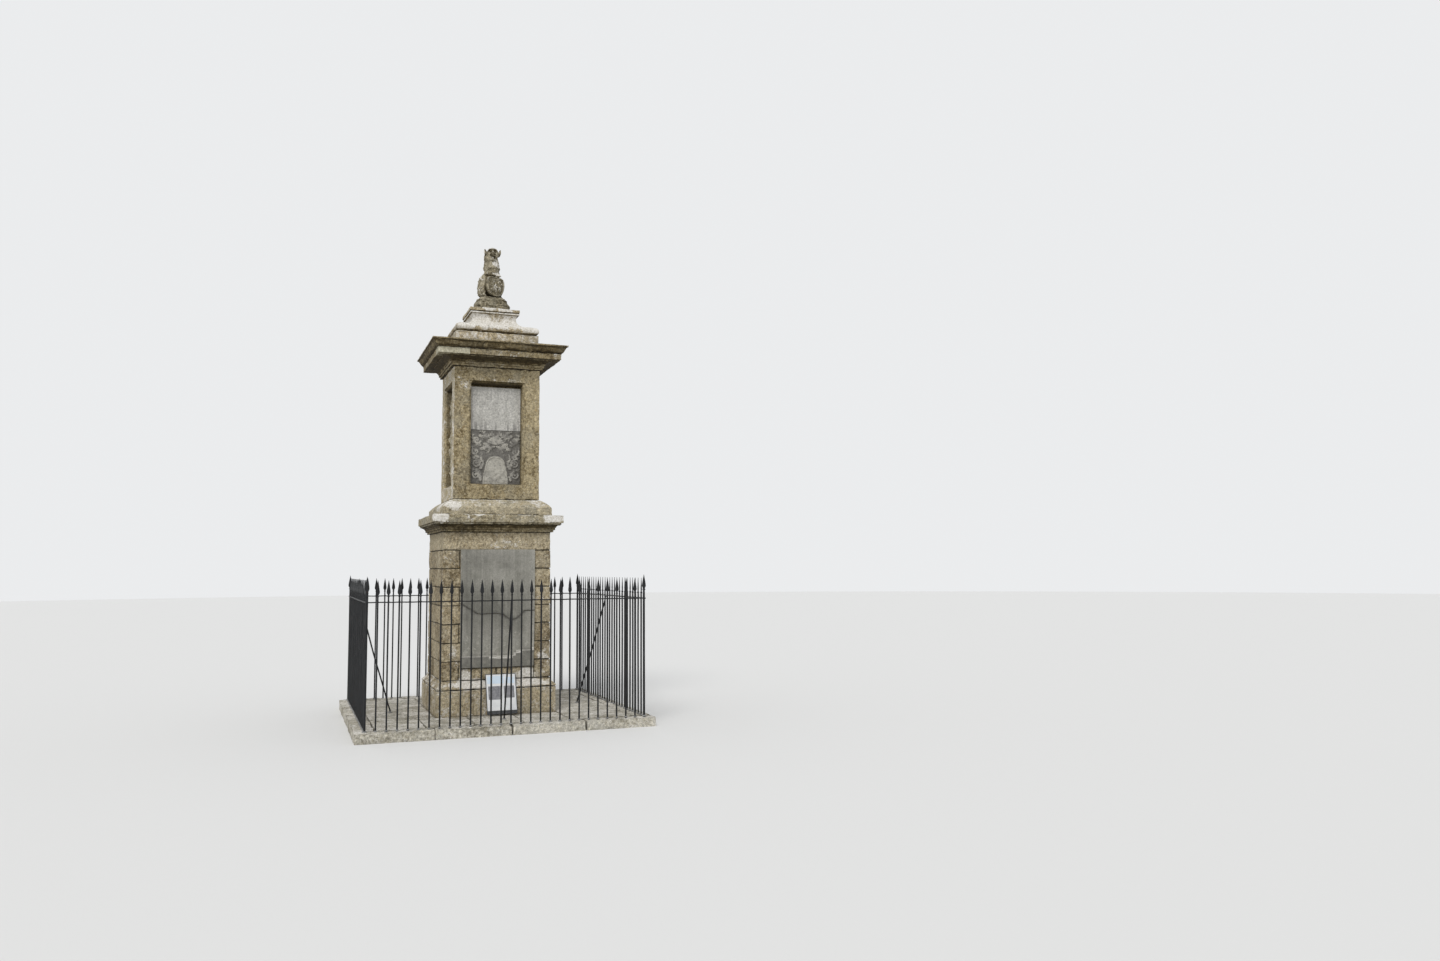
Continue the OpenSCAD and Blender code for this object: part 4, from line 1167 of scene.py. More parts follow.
class Carving:
    """Heights of carved forms over the points x, z of a slab; where forms cross, the higher one counts."""

    def __init__(self, x, z):
        self.x, self.z, self.h = x, z, np.zeros_like(x)

    def add(self, height):
        self.h = np.maximum(self.h, height)

    def stroke(self, points, r0, r1, h0, h1):
        self.add(stroke(self.x, self.z, points, r0, r1, h0, h1))

    def knob(self, cx, cz, radius, height):
        self.stroke([(cx, cz), (cx, cz + 0.001)], radius, radius, height, height)

    def leaf(self, a, b, width, bend, height):
        """A leaf with five lobes from a to b, and a sunk middle rib."""
        lobes, last = 5, 9
        spine = bow(a, b, bend, last + 1)
        blade = Carving(self.x, self.z)
        blade.stroke(spine, width * 0.55, width * 0.25, height, height * 0.6)
        for k in range(1, lobes + 1):
            t = k / (lobes + 0.6)
            p = np.array(spine[int(t * last)])
            q = np.array(spine[min(last, int(t * last) + 1)])
            d = (q - p) / max(np.linalg.norm(q - p), 1e-9)
            n = np.array([-d[1], d[0]])
            reach = width * (1.15 - 0.6 * t)
            for s in (-1, 1):
                tip = p + d * reach * 0.7 + n * s * reach
                blade.stroke([p, tip], width * 0.30, width * 0.14, height * 0.9, height * 0.5)
        rib = stroke(self.x, self.z, spine, width * 0.10, width * 0.05, height * 0.4, height * 0.3)
        self.add(blade.h - rib)


# Scrolls: middle, radius, first angle, turns. Leaves: foot, tip, width, bend.
SCROLLS = ((0.300, 0.700, 0.062, 200, 1.35), (0.318, 0.520, 0.055, 20, -1.30),
           (0.312, 0.330, 0.058, 200, 1.35), (0.310, 0.140, 0.055, 30, -1.30))
LEAVES = (
    ((0.245, 0.770), (0.070, 0.800), 0.055, 0.20), ((0.250, 0.620), (0.365, 0.800), 0.050, -0.2),
    ((0.225, 0.560), (0.120, 0.690), 0.050, 0.22), ((0.275, 0.430), (0.370, 0.610), 0.045, -0.2),
    ((0.235, 0.250), (0.365, 0.420), 0.048, 0.2), ((0.240, 0.060), (0.370, 0.235), 0.048, 0.2),
    ((0.180, 0.640), (0.090, 0.560), 0.040, -0.2), ((0.215, 0.470), (0.190, 0.350), 0.030, 0.2),
    ((0.230, 0.390), (0.225, 0.240), 0.030, -0.2), ((0.020, 0.600), (0.110, 0.500), 0.034, 0.2),
    ((0.150, 0.760), (0.260, 0.840), 0.034, 0.2), ((0.010, 0.765), (0.060, 0.845), 0.034, -0.2))


def mantling(x, z):
    """Leafy scrolls round a plain round-headed field, with a shell above it."""
    mx = np.abs(x)
    carved = Carving(mx, z)
    for cx, cz, r, start, turns in SCROLLS:
        carved.stroke(spiral(cx, cz, r, 0.008, start, turns), 0.020, 0.011, 0.020, 0.016)
        carved.knob(cx, cz, 0.017, 0.024)
    for a, b, width, bend in LEAVES:
        carved.leaf(a, b, width, bend, 0.021)
    for k in range(5):
        angle = math.radians(90 - 19 * k)
        tip = (0.115 * math.cos(angle), 0.640 + 0.115 * math.sin(angle))
        carved.stroke([(0.0, 0.635), tip], 0.010, 0.023, 0.018, 0.022)
    head, spring = 0.150, 0.300
    half = np.where(z < spring, 0.205 - 0.045 * (z / spring) ** 2, 0.160)
    arch = np.where(z < spring, half - mx, head - np.hypot(mx * 0.94, z - spring))
    field = step(arch, 0.0, 0.010)
    rim = step(arch, 0.0, 0.007) * step(-arch, -0.030, -0.022)
    p = np.stack([x, np.zeros_like(x), z], 1)
    worn = 0.006 * rough(p, 0.06, 3, 425) + 0.004 * step(noise(p, 0.035, 426), 0.1, 0.5)
    ground = np.where(arch > -0.007, 0.002, carved.h)
    return np.where(arch > 0.0, 0.008 * field + 0.012 * rim + worn, ground), field


def trophies(x, z):
    """Stacked drums, round shields, drapery and crossed staves, one above another, in high relief."""
    z = z - 0.01
    carved = Carving(x, z)
    corner = np.array([0.365, 1.53])
    for cz, lean in ((0.30, 34), (0.79, 28), (1.27, 34)):
        for s in (-1, 1):
            d = np.array([math.sin(math.radians(lean)) * s, math.cos(math.radians(lean))])
            for offset in (-0.055, 0.030):
                a, b = (np.clip(np.array([offset * s, cz]) + d * reach, (-corner[0], 0.03), corner)
                        for reach in (-0.28, 0.27))
                carved.stroke([a, b], 0.014, 0.014, 0.020, 0.020)
                carved.stroke([b - d * 0.07, b], 0.030, 0.004, 0.022, 0.016)
            carved.leaf((0.05 * s, cz - 0.12), (0.33 * s, cz - 0.04), 0.060, -0.25 * s, 0.024)
            carved.leaf((0.07 * s, cz + 0.09), (0.31 * s, cz + 0.20), 0.052, 0.22 * s, 0.022)
    # cloth and foliage fill the ground between
    for cz in (0.30, 0.79, 1.27):
        for s in (-1, 1):
            for dx, dz, r in ((0.213, -0.03, 0.085), (0.158, 0.12, 0.075), (0.170, -0.15, 0.055)):
                gap = np.hypot(x - dx * s, z - cz - dz) / r
                carved.add((0.0135 + 0.0045 * np.cos(11 * gap)) * np.clip(1.25 - gap, 0, 1) ** 0.4)
    for cz, rx, rz in ((0.30, 0.150, 0.150), (0.79, 0.175, 0.130), (1.27, 0.140, 0.160)):
        gap = np.hypot(x / rx, (z - cz) / rz)
        dome = 0.017 + 0.006 * np.clip(1 - gap ** 2, 0, 1) ** 0.5
        rim = 0.011 * step(-np.abs(gap - 0.86), -0.11, -0.05)
        boss = 0.011 * np.clip(1 - (gap / 0.28) ** 2, 0, 1) ** 0.5
        rays = 0.0065 * np.cos(8 * np.arctan2((z - cz) / rz, x / rx)) * step(gap, 0.28, 0.4)
        rays = rays * step(-gap, -0.78, -0.68)
        disc = (dome + rim + boss + rays) * step(1.0 - gap, 0.0, 0.10)
        carved.h = np.where(gap < 1.0, disc, carved.h * (0.20 + 0.80 * step(gap, 1.02, 1.20)))
    for cz in (0.555, 1.045):
        for s in (-1, 1):
            swag = bow((0.0, cz + 0.02), (0.30 * s, cz + 0.06), -0.22 * s)
            carved.stroke(swag, 0.034, 0.020, 0.028, 0.020)
            tail = bow((0.30 * s, cz + 0.06), (0.33 * s, cz - 0.11), 0.12 * s)
            carved.stroke(tail, 0.022, 0.012, 0.024, 0.014)
        carved.knob(0.0, cz, 0.048, 0.032)
    return carved.h, np.zeros_like(x)


SLAB_HALF, SLAB_THICK = PANEL_W / 2 - 0.0006, 0.042
SLAB_TOP, RELIEF_TOP = PANEL_Z + PANEL_H - 0.032, PANEL_Z + RELIEF_H - 0.0045
HIGH_RELIEF = 2.75


def slab_grid(z0, z1, cell):
    """A slab in the plane of the front panel, and which of its points are on its face."""
    spans = ((-SLAB_HALF, SLAB_HALF), (z0 + 0.0006, z1))
    xs, zs = (lines(low, high, cell, near=(0.004,)) for low, high in spans)
    shape = grid_box(xs, np.array([-SLAB_Y, -SLAB_Y + SLAB_THICK - 0.001]), zs)
    return shape, shape.v[:, 1] < -SLAB_Y + 0.001


def carved_slab(name, node, z1, carving, material, turn, cell, seed, tall=1.0, hollow_dirt_and_shade=0.55, pale_high=0.5,
                highest=0.037):
    """A slab with its carving as raised ground, made tall times as high for a high relief."""
    shape, front = slab_grid(PANEL_Z, z1, cell)
    f = shape.v[front]
    marks = blank_marks(shape)
    h, field = carving(f[:, 0], f[:, 2] - PANEL_Z)
    # weather the carving: softer, pitted and partly lost
    p = np.stack([f[:, 0], f[:, 1] + seed, f[:, 2]], 1)
    lost = np.clip(0.88 + (0.25 if tall == HIGH_RELIEF else 0.5) * rough(p, 0.10, 2, seed), 0.45, 1.1)
    h = h * tall * lost + 0.0028 * rough(p, 0.05, 3, seed + 2) + 0.0018 * rough(p, 0.016, 2, seed + 4)
    shape.v[front, 1] -= np.clip(h, -0.003, highest)
    if tall == HIGH_RELIEF:
        # its steep sides are rounded
        eased = relaxed(shape.v, *edges(shape), 1, 0.4)
        shape.v[front] = np.where(np.abs(f[:, :1]) < SLAB_HALF - 0.02, eased[front], shape.v[front])
    h = h / tall
    cloud = 0.5 + 0.5 * noise(p, 0.09, seed + 8)
    speckle = 0.5 + 0.5 * noise(p, 0.03, seed + 9)
    # the low ground between the carved forms is darkened: dirt together with painted shade
    low = step(-h, -0.014, -0.003)
    marks["stain"][front] = hollow_dirt_and_shade * low * (1 - field) * (0.5 + 0.5 * cloud) + 0.10
    marks["tone"][front] = np.where(field > 0.5, 0.9 + 1.7 * cloud * speckle + 30 * (h - 0.02),
                                    -0.2 + 0.9 * (h / 0.02) + 0.6 * cloud)
    marks["pale"][front] = np.where(field > 0.5, 0.55 + 0.9 * speckle * cloud,
                                    (pale_high * (h / 0.02) + 0.25) * (0.3 + 1.0 * cloud))
    make_piece(name, shape.turned(turn), material, [node], marks, split=60)


def plain_slab(name, node, turn, seed):
    shape, front = slab_grid(PANEL_Z + RELIEF_H + 0.0008, SLAB_TOP, 0.022)
    f = shape.v[front]
    marks = blank_marks(shape)
    shape.v[front, 1] -= 0.0014 * rough(f, 0.22, 3, seed) + 0.0007 * rough(f, 0.03, 2, seed + 4)
    height = f[:, 2] - (PANEL_Z + RELIEF_H)
    drips = step(noise(f, (0.022, 1, 0.5), seed + 5), -0.1, 0.5)
    marks["stain"][front] = 0.8 * drips * step(-height, -0.20, -0.02) + 0.06 * step(height, 0.64, 0.70)
    marks["tone"][front] = 0.4
    marks["pale"][front] = 0.22 * step(height, 0.50, 0.62) + 0.40 * step(height, 0.64, 0.69)
    make_piece(name, shape.turned(turn), SLATE_TOP, [node], marks, split=60)


plain_slab("plain_slab_front", "front_tablet", 0, 400)
plain_slab("plain_slab_back", "back_tablet", 180, 410)
carved_slab("carved_slab_front", "front_relief", RELIEF_TOP, mantling, SLATE_CARVED, 0, 0.0077, 420)
carved_slab("carved_slab_back", "back_relief", RELIEF_TOP, mantling, SLATE_CARVED, 180, 0.0100, 430)
carved_slab("trophy_slab_left", "left_relief", SLAB_TOP, trophies, STATUE, 270, 0.0116, 440,
            HIGH_RELIEF, 1.1, 0.05, 0.106)
carved_slab("trophy_slab_right", "right_relief", SLAB_TOP, trophies, STATUE, 90, 0.0120, 450,
            HIGH_RELIEF, 1.1, 0.05, 0.106)

# Mound, griffin and shield

H = 0.88
FIGURE_TURN, HEAD_TURN = math.radians(28), math.radians(-36)
HEAD_SHIFT = np.array([0.015 * H, -0.01 * H, 0])
SHIELD_X, SHIELD_Y, SHIELD_T, SHIELD_W, SHIELD_H = -0.02 * H, -0.118 * H, 0.055 * H, 0.41 * H, 0.37 * H
SHIELD_FOOT = 0.03 * H


def turned_about_axis(v, angle):
    c, s = math.cos(angle), math.sin(angle)
    return np.stack([v[:, 0] * c - v[:, 1] * s, v[:, 0] * s + v[:, 1] * c, v[:, 2]], 1)


def figure_piece(name, shape, nodes, marks):
    """A piece of the figure, turned and lifted from its own frame to its place."""
    verts = turned_about_axis(shape.v, FIGURE_TURN) + np.array([0, 0, Z_GRIFFIN])
    make_piece(name, Shape(verts, shape.q, shape.t), STATUE, nodes, marks)


# Limbs: from, to, radius there and there, in figure heights. Those of a pair are given for one side.
TRUNK = [((0, 0.06, 0.18), (0, -0.005, 0.54), 0.186, 0.130),
         ((0, -0.03, 0.36), (0, -0.045, 0.55), 0.125, 0.098),
         ((0, -0.005, 0.54), (0, 0, 0.70), 0.130, 0.104), ((0, 0, 0.70), (0, 0.03, 0.83), 0.104, 0.080)]
HIND_LEG = [((0.095, 0.09, 0.135), (0.088, 0.08, 0.31), 0.132, 0.096),
            ((0.150, 0.03, 0.15), (0.178, -0.020, 0.110), 0.078, 0.048),
            ((0.160, 0.03, 0.045), (0.200, -0.045, 0.040), 0.046, 0.036)]
FORELEG = [((0.098, 0.0, 0.56), (0.128, -0.02, 0.475), 0.062, 0.048),
           ((0.128, -0.02, 0.475), (0.066, -0.115, 0.452), 0.044, 0.034),
           ((0.066, -0.110, 0.452), (0.055, -0.145, 0.444), 0.036, 0.032)]
# the wing's bend, then rows of long feathers down the flank
WING = [((0.120, 0.070, 0.435), (0.150, 0.120, 0.37), 0.042, 0.046),
        ((0.150, 0.120, 0.37), (0.158, 0.180, 0.21), 0.042, 0.034),
        ((0.140, 0.165, 0.34), (0.135, 0.225, 0.13), 0.042, 0.020),
        ((0.110, 0.190, 0.36), (0.095, 0.265, 0.10), 0.040, 0.018)]
TAIL = [(0.0, 0.24, 0.05), (0.08, 0.235, 0.035), (0.15, 0.205, 0.034), (0.20, 0.15, 0.038),
        (0.222, 0.09, 0.050), (0.215, 0.04, 0.085)]
TAIL_TUFT = ((0.215, 0.04, 0.085), (0.205, 0.025, 0.125), 0.030, 0.014)
# The head faces -y here and is turned afterwards: the beak is open, with the tongue in it
SKULL = [((0, -0.005, 0.893), (0, 0.03, 0.86), 0.096, 0.094),
         ((0, 0.03, 0.85), (0, 0.03, 0.76), 0.085, 0.080)]
# brow, eye, cheek down to the corner of the beak, and upright ear
FACE = [((0.014, -0.106, 0.944), (0.060, -0.082, 0.944), 0.018, 0.017),
        ((0.060, -0.082, 0.944), (0.092, -0.045, 0.912), 0.017, 0.015),
        ((0.043, -0.088, 0.911), (0.043, -0.089, 0.911), 0.018, 0.018),
        ((0.068, -0.050, 0.880), (0.072, -0.062, 0.810), 0.030, 0.022),
        ((0.072, -0.062, 0.810), (0.050, -0.066, 0.742), 0.020, 0.024),
        ((0.104, 0.0, 0.855), (0.132, -0.004, 0.905), 0.036, 0.030),
        ((0.132, -0.004, 0.905), (0.146, 0.0, 0.962), 0.029, 0.011)]
# ridge and hook of the upper beak
BEAK = [((0, -0.085, 0.900), (0, -0.145, 0.882), 0.037, 0.030),
        ((0, -0.145, 0.882), (0, -0.180, 0.858), 0.029, 0.020),
        ((0, -0.180, 0.858), (0, -0.192, 0.828), 0.019, 0.008)]
BEAK_EDGES = [((0.045, -0.085, 0.868), (0.016, -0.160, 0.858), 0.017, 0.012),
              ((0.045, -0.070, 0.738), (0.014, -0.150, 0.735), 0.020, 0.012)]
# lower beak, tongue and crest
JAW = [((0, -0.03, 0.738), (0, -0.110, 0.724), 0.046, 0.030),
       ((0, -0.110, 0.724), (0, -0.160, 0.726), 0.028, 0.012),
       ((0, -0.040, 0.758), (0, -0.105, 0.768), 0.020, 0.018),
       ((0, -0.105, 0.768), (0, -0.135, 0.784), 0.017, 0.010),
       ((0, -0.066, 0.938), (0, 0.07, 0.90), 0.046, 0.040)]
# Rows of curled feathers of the neck: level, radius, how many, how near the face they go
ALL_ROUND = 9.0
LOCKS = ((0.845, 0.098, 11, 0.25), (0.790, 0.100, 12, 0.45), (0.730, 0.108, 13, 0.80),
         (0.668, 0.116, 14, ALL_ROUND), (0.606, 0.127, 15, ALL_ROUND))


def on_side(limbs, s):
    return [((s * a[0], *a[1:]), (s * b[0], *b[1:]), ra, rb) for a, b, ra, rb in limbs]


def body_limbs():
    out = list(TRUNK)
    for s in (-1, 1):
        out += on_side(HIND_LEG, s)
        out += [((s * (0.202 + 0.020 * k), -0.045 + 0.010 * k, 0.038),
                 (s * (0.222 + 0.024 * k), -0.084 + 0.014 * k, 0.022), 0.020, 0.014) for k in (-1, 0, 1)]
        out += on_side(FORELEG, s)
        out += [((s * 0.055 + 0.022 * k, -0.143, 0.448), (s * 0.055 + 0.025 * k, -0.178, 0.424), 0.018, 0.012)
                for k in (-1, 0, 1)]
        out += on_side(WING, s)
    return out + [(a, b, 0.024, 0.022) for a, b in zip(TAIL[:-1], TAIL[1:])] + [TAIL_TUFT]


def head_limbs():
    out = SKULL + on_side(FACE, -1) + on_side(FACE, 1) + BEAK
    for s in (-1, 1):
        out += on_side(BEAK_EDGES, s)
    return out + JAW


def locks():
    """Curled feathers of the neck in overlapping rows; the throat under the beak stays bare."""
    out = []
    for row, (z, radius, count, bare) in enumerate(LOCKS):
        back = 0.02 if row < 2 else 0
        for k in range(count):
            angle = 2 * math.pi * (k + 0.5 * (row % 2)) / count - math.pi / 2
            c, s = math.cos(angle), math.sin(angle)
            if c * math.sin(HEAD_TURN) - s * math.cos(HEAD_TURN) > bare:
                continue
            a, b, e = ((r * c, r * s + back, z + up) for r, up in (
                (radius * 0.88, 0.030), (radius + 0.010, -0.014), (radius + 0.022, -0.040)))
            out += [(a, b, 0.026, 0.025), (b, e, 0.024, 0.010)]
    return out


def limb_shape(a, b, ra, rb):
    """A tapered limb with round ends."""
    a, b, ra, rb = np.array(a) * H, np.array(b) * H, ra * H, rb * H
    nearly_right = 1.53
    axis = b - a
    length = np.linalg.norm(axis)
    axis = axis / max(length, 1e-9)
    slope = math.asin(np.clip((ra - rb) / max(length, 1e-9), -0.98, 0.98))
    side = np.cross(axis, [0.31, 0.52, 0.80])
    side /= np.linalg.norm(side)
    other = np.cross(axis, side)
    t = np.linspace(0, 2 * math.pi, 22, endpoint=False)
    circle = np.cos(t)[:, None] * side + np.sin(t)[:, None] * other
    rings = []
    for centre, radius, first, last in ((a, ra, -nearly_right, slope), (b, rb, slope, nearly_right)):
        for angle in np.linspace(first, last, 7):
            rings.append(centre + axis * radius * math.sin(angle) + circle * radius * math.cos(angle))
    return loft(rings)


def remeshed(limbs, voxel):
    """One skin round all the limbs."""
    shape = joined([limb_shape(*limb) for limb in limbs])
    mesh = bpy.data.meshes.new("scratch")
    mesh.from_pydata(shape.v.tolist(), [], shape.q.tolist() + shape.t.tolist())
    obj = add_object("scratch", mesh)
    remesh = obj.modifiers.new("remesh", "REMESH")
    remesh.mode = "VOXEL"
    remesh.voxel_size = voxel
    evaluated = obj.evaluated_get(bpy.context.evaluated_depsgraph_get())
    done = evaluated.to_mesh()
    verts = np.empty(len(done.vertices) * 3, np.float32)
    done.vertices.foreach_get("co", verts)
    faces = [list(p.vertices) for p in done.polygons]
    evaluated.to_mesh_clear()
    bpy.data.objects.remove(obj)
    bpy.data.meshes.remove(mesh)
    return Shape(verts, [f for f in faces if len(f) == 4], [f for f in faces if len(f) == 3])


def ridges(distance, pitch):
    """Narrow lines, one in each pitch, fading out to both sides."""
    return np.abs(np.cos(math.pi * distance / pitch)) ** 3


def push_out(shape, amount):
    """Moves the points outwards by an amount, then in and out by wear."""
    shape.v = shape.v + normals(shape) * amount[:, None]
    v = shape.v
    wear = 0.0034 * rough(v, 0.075, 3, 501) + 0.0018 * rough(v, 0.022, 3, 502)
    wear -= 0.005 * step(noise(v, 0.03, 503), 0.45, 0.75)
    shape.v = v + normals(shape) * wear[:, None]


def carve_body(shape):
    """How far each point moves out for quills of the wings, scales of the breast and folds of the haunch."""
    v = shape.v / H
    n = normals(shape)
    side = np.abs(v[:, 0])
    flank = step(side, 0.10, 0.13) * step(v[:, 1], 0.05, 0.10) * within(v[:, 2], (0.08, 0.13), (0.44, 0.50))
    d = -0.0065 * flank * ridges(v[:, 1] * 0.95 + v[:, 2] * 0.30, 0.030)
    d -= 0.0040 * flank * step(np.cos(2 * math.pi * (v[:, 2] - 0.6 * v[:, 1]) / 0.13), 0.90, 0.99)
    back = step(n[:, 1], 0.35, 0.7) * step(v[:, 1], 0.05, 0.08) * within(v[:, 2], (0.08, 0.12), (0.46, 0.52))
    d -= 0.0070 * back * ridges(side + 0.22 * v[:, 2], 0.034)
    d -= 0.0050 * back * step(np.cos(2 * math.pi * (v[:, 2] - 0.5 * side) / 0.12), 0.86, 0.98)
    breast = step(-v[:, 1], 0.06, 0.10) * within(v[:, 2], (0.40, 0.46), (0.57, 0.60))
    row = v[:, 2] / 0.036
    shift = 0.5 * (np.floor(row) % 2)
    place = (np.arctan2(v[:, 0], -v[:, 1]) * 4.0 + shift) % 1.0 - 0.5
    d += 0.0060 * breast * ((1 - (row - np.floor(row))) * np.clip(1 - (2 * place) ** 2, 0, 1) - 0.35)
    # a fold along the haunch and ribs of the back
    fold = np.abs(np.hypot(v[:, 1] - 0.09, v[:, 2] - 0.17) - 0.155)
    d -= 0.0050 * step(side, 0.12, 0.16) * step(-fold, -0.014, -0.004) * step(-v[:, 1], -0.14, -0.06)
    return d


def carve_head(shape):
    """How far each point of the unturned head moves out for its cheeks, nostrils, eyes and ears."""
    v = shape.v / H
    side = np.abs(v[:, 0])
    ear = step(side, 0.105, 0.12) * step(-v[:, 1], -0.004, 0.012)
    hollow_ear = within(v[:, 2], (0.865, 0.885), (0.935, 0.955)) * step(-np.abs(side - 0.132), -0.020, -0.006)
    d = -0.010 * ear * hollow_ear
    nostril = np.hypot((side - 0.026) / 0.010, (v[:, 2] - 0.884) / 0.008)
    d -= 0.006 * step(-nostril, -1.0, -0.4) * step(-v[:, 1], 0.11, 0.13)
    eye = np.hypot(side - 0.043, v[:, 2] - 0.911)
    front = step(-v[:, 1], 0.06, 0.08)
    d -= 0.007 * front * within(eye, (0.016, 0.021), (0.024, 0.032))
    d += 0.002 * front * step(-eye, -0.014, -0.010)
    cheek = step(side, 0.06, 0.08) * step(-v[:, 2], -0.90, -0.86)
    return d - 0.0045 * cheek * ridges(v[:, 2] + 0.6 * v[:, 1], 0.026)


# Pale places in the figure's own frame: middle, half sizes, strength
STATUE_PALE = [
    (-0.010, -0.130, 0.685, 0.068, 0.07, 0.080, 1.9), (-0.118, 0.085, 0.925, 0.030, 0.04, 0.060, 1.4),
    (0.118, -0.085, 0.920, 0.03, 0.04, 0.06, 0.8), (-0.12, -0.02, 0.49, 0.035, 0.05, 0.07, 1.2),
    (0.055, -0.15, 0.455, 0.05, 0.05, 0.03, 1.2), (-0.055, -0.15, 0.455, 0.05, 0.05, 0.03, 1.2),
    (-0.16, 0.10, 0.39, 0.05, 0.08, 0.05, 0.9), (-0.03, -0.05, 0.970, 0.07, 0.07, 0.025, 1.7),
    (-0.15, 0.05, 0.26, 0.03, 0.06, 0.05, 0.6),
]


def statue_marks(shape, head):
    v = shape.v / H
    n = normals(shape)
    pale = 0.05 + 0.55 * step(n[:, 2], 0.3, 0.9) + 0.50 * step(noise(v, 0.04, 518), 0.1, 0.6)
    pale = spotted(pale, v, STATUE_PALE, 0.02, 0.06, 520, -1.8, -0.4)
    # faces that look down are darker: painted shade, with dirt in patches
    stain = 0.75 * step(-n[:, 2], 0.15, 0.8) + 0.50 * step(noise(v, 0.06, 519), 0.0, 0.5)
    # painted shadow of the shield, darkening what lies behind it
    shadow_behind_shield = step(-v[:, 2], -0.46, -0.41) * step(-np.abs(v[:, 1] + 0.07), -0.085, -0.045)
    stain += 1.1 * shadow_behind_shield * step(-np.abs(v[:, 0]), -0.21, -0.16)
    if head:
        own = turned_about_axis(shape.v - HEAD_SHIFT, -HEAD_TURN) / H
        side, ahead, up = np.abs(own[:, 0]), -own[:, 1], own[:, 2]
        mouth = (own[:, 0] / 0.055) ** 2 + ((up - 0.800) / 0.042) ** 2 + ((own[:, 1] + 0.05) / 0.055) ** 2
        eye = np.hypot(side - 0.043, up - 0.911)
        eye_ring = step(ahead, 0.030, 0.045) * step(ahead, 0.06, 0.08) * step(-eye, -0.036, -0.026)
        tongue = step(ahead, 0.07, 0.09) * step(-side, -0.022, -0.016)
        tongue = tongue * within(up, (0.755, 0.765), (0.795, 0.800))
        ear = step(side, 0.115, 0.125) * step(ahead, 0.0, 0.012) * step(-np.abs(side - 0.132), -0.018, -0.008)
        # the mouth, the ring round each eye and the ear hollows are darkened as painted shade, the tongue
        # left clear
        stain = (stain + 1.1 * step(-mouth, -1.25, -0.7) + 1.0 * eye_ring + 0.7 * ear) * (1 - tongue)
        pale = pale + 0.9 * tongue + 0.9 * step(ahead, 0.12, 0.15) * step(up, 0.86, 0.875)
    pale = pale * (1 - np.clip(stain, 0, 1) * 0.85)
    return {"pale": np.clip(pale, 0, 1.5), "stain": np.clip(stain, 0, 1.3), "tone": 0.6 * noise(v, 0.12, 530)}


body, head = remeshed(body_limbs() + locks(), 0.0080), remeshed(head_limbs(), 0.0048)
for part, name, carve, nodes in ((body, "griffin_body", carve_body, ["griffin"]),
                                 (head, "griffin_head", carve_head, [])):
    part.v = relaxed(part.v, *edges(part), 2, 0.5)
    push_out(part, carve(part))
    if part is head:
        part.v = turned_about_axis(part.v, HEAD_TURN) + HEAD_SHIFT
    marks = statue_marks(part, part is head)
    part.v[:, 2] = np.maximum(part.v[:, 2], -0.012)
    figure_piece(name, part, nodes, marks)


def shield_outline():
    """Nearly square above its widest level and rounded to a blunt foot below, with a lobed edge."""
    t = np.linspace(0, 2 * math.pi, 96, endpoint=False)
    c, s = np.cos(t), np.sin(t)
    x = SHIELD_W / 2 * np.sign(c) * np.abs(c) ** np.where(s > 0, 0.42, 0.80)
    z = SHIELD_H * np.where(s > 0, 0.4 * np.abs(s) ** 0.42, -0.6 * np.abs(s) ** 0.92) + 0.6 * SHIELD_H
    return x * (0.985 + 0.014 * np.sin(5 * t + 0.6)), z


def shield_shape():
    """The shield: a plate with a raised rim and a worn sprig of scrolls and leaves."""
    px, pz = shield_outline()
    face, back, middle_z = SHIELD_Y - SHIELD_T, SHIELD_Y - 0.001, 0.55 * SHIELD_H
    rows = []
    for s in np.concatenate([np.linspace(0.0, 0.84, 26)[1:], [0.865, 0.89, 0.915, 0.94, 0.965, 0.985, 1.0]]):
        x, z = px * s, middle_z + (pz - middle_z) * s
        p = np.stack([x, np.zeros_like(x), z], 1)
        height = 0.004 * (1 - s * s) + 0.016 * step(s, 0.85, 0.89) * (1 - 0.5 * step(s, 0.96, 1.0))
        device = Carving(x, z)
        for cx, cz, r, turn, turns in ((0.075, 0.232, 0.046, 250, 1.2), (-0.055, 0.225, 0.040, 290, -1.2),
                                       (0.070, 0.118, 0.042, 120, -1.2), (-0.050, 0.115, 0.034, 60, 1.2)):
            device.stroke(spiral(cx, cz, r, 0.008, turn, turns, 18), 0.017, 0.010, 0.024, 0.018)
        device.stroke(bow((0.012, 0.045), (0.010, 0.292), 0.06), 0.020, 0.013, 0.026, 0.018)
        for side in (-1, 1):
            device.leaf((0.02 * side, 0.165), (0.115 * side, 0.175), 0.028, 0.1, 0.020)
            device.leaf((0.02 * side, 0.270), (0.100 * side, 0.300), 0.024, 0.1, 0.018)
        height = height + device.h * np.clip(0.75 + 0.5 * noise(p, 0.06, 542), 0.3, 1.1) * (s < 0.85)
        height += 0.0035 * rough(p, 0.05, 2, 540) + 0.002 * rough(p, 0.018, 2, 541)
        rows.append(np.stack([x, face + 0.020 - height, z], 1))
    for shrink, y in ((1.003, face + 0.022), (1.0, SHIELD_Y - 0.5 * SHIELD_T), (0.995, back)):
        rows.append(np.stack([px * shrink, np.full(len(px), y), middle_z + (pz - middle_z) * shrink], 1))
    shape = skin(rows, (0, face + 0.014, middle_z), (0, back, middle_z)).moved((SHIELD_X, 0, SHIELD_FOOT))
    # a face that starts one corner on is cut along its other diagonal
    return facing_out(Shape(shape.v, np.roll(shape.q, -1, 1), np.roll(shape.t, -1, 1)))


plate = shield_shape()
deep = 0.5 + 0.5 * noise(plate.v, 0.03, 545)
raised_part = step(SHIELD_Y - SHIELD_T + 0.016 - plate.v[:, 1], 0.0, 0.010)
